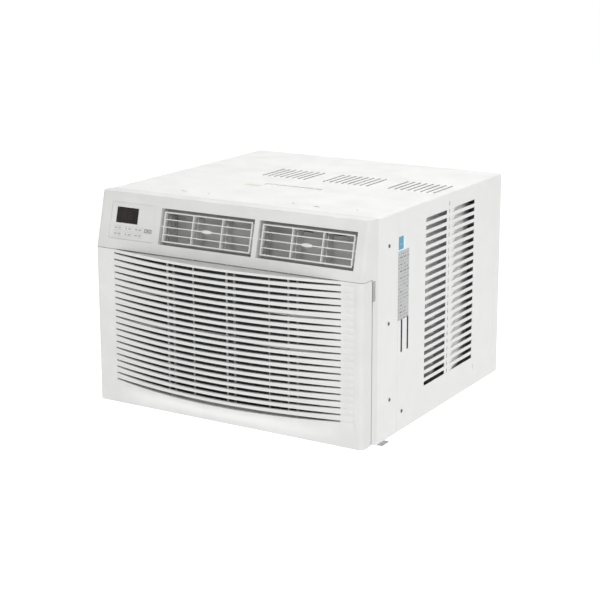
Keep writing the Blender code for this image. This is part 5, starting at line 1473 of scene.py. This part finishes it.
@dataclass
class AirFilter:
    """Framed net that slides out to the right by a ribbed tab."""

    thickness: float = 0.0028
    border: float = 0.010
    bar: float = 0.006
    edge: float = 0.0006
    fields: tuple = (4, 2)
    tab_reach: float = 0.0125
    tab_height: float = 0.040
    tab_wall: float = 0.0016
    grip_ribs: int = 6
    grip_first: float = 0.008
    grip_pitch: float = 0.0048
    grip_rib: tuple = (0.0006, 0.0014)
    thread_pitch: float = 0.0032
    thread_half: float = 0.0006
    thread_inset: float = 0.004

    def levels(self, low: float, high: float, fields: int) -> list:
        """Work out where the frame's bars lie along one axis.

        Args:
            low: Lower end of the frame.
            high: Upper end of the frame.
            fields: Number of open fields between the bars.

        Returns:
            Middle and half width of every bar. The two outer ones are wider.
        """
        span = high - low - self.border
        return [(low + self.border / 2 + span * step / fields,
                 (self.border if step in (0, fields) else self.bar) / 2) for step in range(fields + 1)]

    def build_frame(self, low: Vector, high: Vector, right: float) -> None:
        """Build the frame with its crossed bars and its ribbed tab.

        Args:
            low: Lowest corner of the filter's space.
            high: Highest corner of the filter's space.
            right: Right end of the frame, where the tab starts.
        """
        front, back = low.y, low.y + self.thickness
        bm = bmesh.new()
        for x, half in self.levels(low.x, right, self.fields[0]):
            round_edges(bm, add_box(bm, (x - half, front, low.z), (x + half, back, high.z)), self.edge)
        for z, half in self.levels(low.z, high.z, self.fields[1]):
            verts = add_box(bm, (low.x, front + 0.0001, z - half), (right, back - 0.0001, z + half))
            round_edges(bm, verts, self.edge)
        tab_low = high.z - self.tab_height
        verts = add_box(bm, (right - 0.002, front, tab_low), (HALF_FRONT, back, high.z))
        round_edges(bm, verts, self.edge)
        verts = add_box(bm, (HALF_FRONT - self.tab_wall, front, tab_low), (HALF_FRONT, high.y, high.z))
        round_edges(bm, verts, 0.0005)
        rise, height = self.grip_rib
        for row in range(self.grip_ribs):
            z = tab_low + self.grip_first + row * self.grip_pitch
            verts = add_box(bm, (HALF_FRONT - 0.0005, back + 0.002, z),
                            (HALF_FRONT + rise, high.y - 0.002, z + height))
            round_edges(bm, verts, 0.0004, 1)
        mount(as_object(bm, "filter_frame"), "filter", POLYPROPYLENE, ("air_filter",))

    def build_net(self, low: Vector, high: Vector, right: float) -> None:
        """Build the net of crossed threads.

        Args:
            low: Lowest corner of the filter's space.
            high: Highest corner of the filter's space.
            right: Right end of the frame.
        """
        middle = low.y + self.thickness / 2
        half, inset = self.thread_half, self.thread_inset
        thin = half * 0.8
        bm = bmesh.new()
        for step in range(int((right - low.x - self.border) / self.thread_pitch)):
            x = low.x + self.border / 2 + step * self.thread_pitch
            add_box(bm, (x - half, middle - half, low.z + inset), (x + half, middle + half, high.z - inset))
        for step in range(int((high.z - low.z - self.border) / self.thread_pitch)):
            z = low.z + self.border / 2 + step * self.thread_pitch
            add_box(bm, (low.x + inset, middle - thin, z - half), (right - inset, middle + thin, z + half))
        mount(as_object(bm, "filter_threads"), "filter", FILTER_NET)

    def build(self) -> None:
        """Build the frame and its net."""
        low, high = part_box("air_filter")
        right = HALF_FRONT - self.tab_reach
        self.build_frame(low, high, right)
        self.build_net(low, high, right)


# ---- Inside ----
@dataclass
class Coil:
    """Fin stack on hairpin tubes between two end plates, which stands in for one solid coil node."""

    node: str
    pitch: float = 0.0030
    fin: float = 0.0005
    tube_radius: float = 0.0038
    tube_rise: float = 0.0254
    plate: float = 0.0016
    inset: float = 0.001
    tube_rows: tuple = (0.28, 0.72)
    tube_past: tuple = (0.0015, 0.0010)
    bend_reach: float = 0.010

    def build(self) -> None:
        """Build the fins, the tubes with their bends, and the end plates."""
        low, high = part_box(self.node)
        name = self.node.replace("_coil", "")
        self.build_fins(name, low, high)
        bm = bmesh.new()
        for x in (low.x, high.x - self.plate):
            verts = add_box(bm, (x, low.y, low.z), (x + self.plate, high.y, high.z))
            round_edges(bm, verts, 0.0004, 1)
        mount(as_object(bm, f"{name}_end_plates"), "chassis", ZINC)
        self.build_tubes(name, low, high)

    def build_fins(self, name: str, low: Vector, high: Vector) -> None:
        """Build the stack of thin fins.

        Args:
            name: Name of the coil.
            low: Lowest corner of the coil.
            high: Highest corner of the coil.
        """
        left, right = low.x + self.plate, high.x - self.plate
        front, back = low.y + self.inset, high.y - self.inset
        bm = bmesh.new()
        for step in range(int((right - left) / self.pitch)):
            x = left + (step + 0.5) * self.pitch
            add_box(bm, (x - self.fin / 2, front, low.z), (x + self.fin / 2, back, high.z))
        mount(as_object(bm, f"{name}_fins"), "chassis", FIN_STOCK, (self.node,))

    def build_tubes(self, name: str, low: Vector, high: Vector) -> None:
        """Build the straight tubes and the bends that join them in pairs.

        Args:
            name: Name of the coil.
            low: Lowest corner of the coil.
            high: Highest corner of the coil.
        """
        rows = int((high.z - low.z - self.tube_rise / 2) / self.tube_rise)
        levels = [low.z + (row + 0.75) * self.tube_rise for row in range(rows)]
        depths = [low.y + (high.y - low.y) * share for share in self.tube_rows]
        start, end = low.x - self.tube_past[0], high.x + self.tube_past[1]
        bm = bmesh.new()
        for z in levels:
            for y in depths:
                add_rod(bm, (start, y, z), (end, y, z), self.tube_radius, 12)
        mount(as_object(bm, f"{name}_tubes"), "chassis", COPPER)
        bends = bmesh.new()
        reach = self.tube_rise / 2
        angles = [math.pi * step / 10 for step in range(11)]
        for z in levels[:-1:2]:
            for y in depths:
                route = [(start - self.bend_reach * math.sin(angle), y, z + reach - reach * math.cos(angle))
                         for angle in angles]
                bend = tube(route, self.tube_radius, "bend")
                bends.from_mesh(bend.data)
                bpy.data.objects.remove(bend)
        mount(as_object(bends, f"{name}_bends"), "chassis", COPPER)


@dataclass
class Inside:
    """Air path, fan drive and refrigeration parts."""

    shell_radius: float = 0.0700
    weld_share: float = 0.72

    def build_air_path(self) -> None:
        """Dress and soften the parts that carry room air."""
        softened("drip_tray", "drip_tray_foam", "chassis", FOAM, 0.0008)
        softened("blower_housing", "scroll_foam", "chassis", FOAM, 0.0012, 2)
        softened("air_duct", "duct_foam", "chassis", FOAM, 0.0010, 2)
        softened("bulkhead", "bulkhead_pressing", "chassis", ZINC, 0.0006)
        softened("blower_wheel", "blower_moulding", "fan_rotor", WHEEL_PP, 0.0003)

    def build_outdoor_side(self) -> None:
        """Dress and soften the parts of the outdoor side."""
        softened("condenser_fan", "axial_fan_moulding", "fan_rotor", POLYPROPYLENE, 0.0006)
        softened("fan_shroud", "shroud_moulding", "chassis", POLYPROPYLENE, 0.0006)
        dress(POWDER_COAT, "rear_guard")
        softened("fan_motor", "motor_shell", "chassis", MOTOR_STEEL, 0.0012, 3)
        softened("motor_bracket", "bracket_channel", "chassis", ZINC, 0.0006)
        softened("motor_shaft", "shaft_bar", "fan_rotor", SCREW_STEEL, 0.0006)
        softened("compressor", "compressor_shell", "chassis", BLACK_ENAMEL, 0.0020, 3)
        for number in (1, 2, 3):
            softened(f"compressor_grommet_{number}", f"grommet_{number}", "chassis", RUBBER,
                     0.0015, 3)
        dress(GREY_ENAMEL, "accumulator", "discharge_pipe")
        dress(FOAM, "suction_pipe")
        dress(COPPER, "capillary_tube")

    def build_weld(self) -> None:
        """Build the weld seam where the compressor's two shells meet."""
        low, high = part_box("compressor")
        level = low.z + (high.z - low.z) * self.weld_share
        centre = Vector((upper_middle("compressor", 0), upper_middle("compressor", 1), level))
        sunk, shoulder, crown = (self.shell_radius + rise for rise in (-0.001, 0.0014, 0.0018))
        seam = [(sunk, -0.0025), (shoulder, -0.0015), (crown, 0.0), (shoulder, 0.0015), (sunk, 0.0025),
                (sunk, -0.0025)]
        bm = bmesh.new()
        add_turned(bm, seam, centre, Vector((0, 0, 1)), 64)
        mount(as_object(bm, "compressor_weld"), "chassis", BLACK_ENAMEL)

    def build(self) -> None:
        """Build everything inside."""
        self.build_air_path()
        self.build_outdoor_side()
        self.build_weld()
        Coil("evaporator_coil").build()
        Coil("condenser_coil").build()


def upper_middle(node: str, axis: int) -> float:
    """Find the middle of the upper half of a node along an axis.

    Args:
        node: Name of the node.
        axis: 0 for x, 1 for y, 2 for z.

    Returns:
        The place along that axis.
    """
    low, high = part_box(node)
    upper = [vert.co[axis] for vert in frame["nodes"][node].data.vertices
             if vert.co.z > (low.z + high.z) / 2]
    return (min(upper) + max(upper)) / 2


def main() -> None:
    """Build the studio and every sub-assembly in order."""
    logging.basicConfig(level=logging.INFO, format="%(name)s: %(message)s")
    for assembly in (Studio(), Cabinet(), ControlPanel(), Outlets(), IntakeGrille(), Inside()):
        assembly.build()
        LOG.info("%s is built", type(assembly).__name__)


if __name__ == "__main__":
    main()
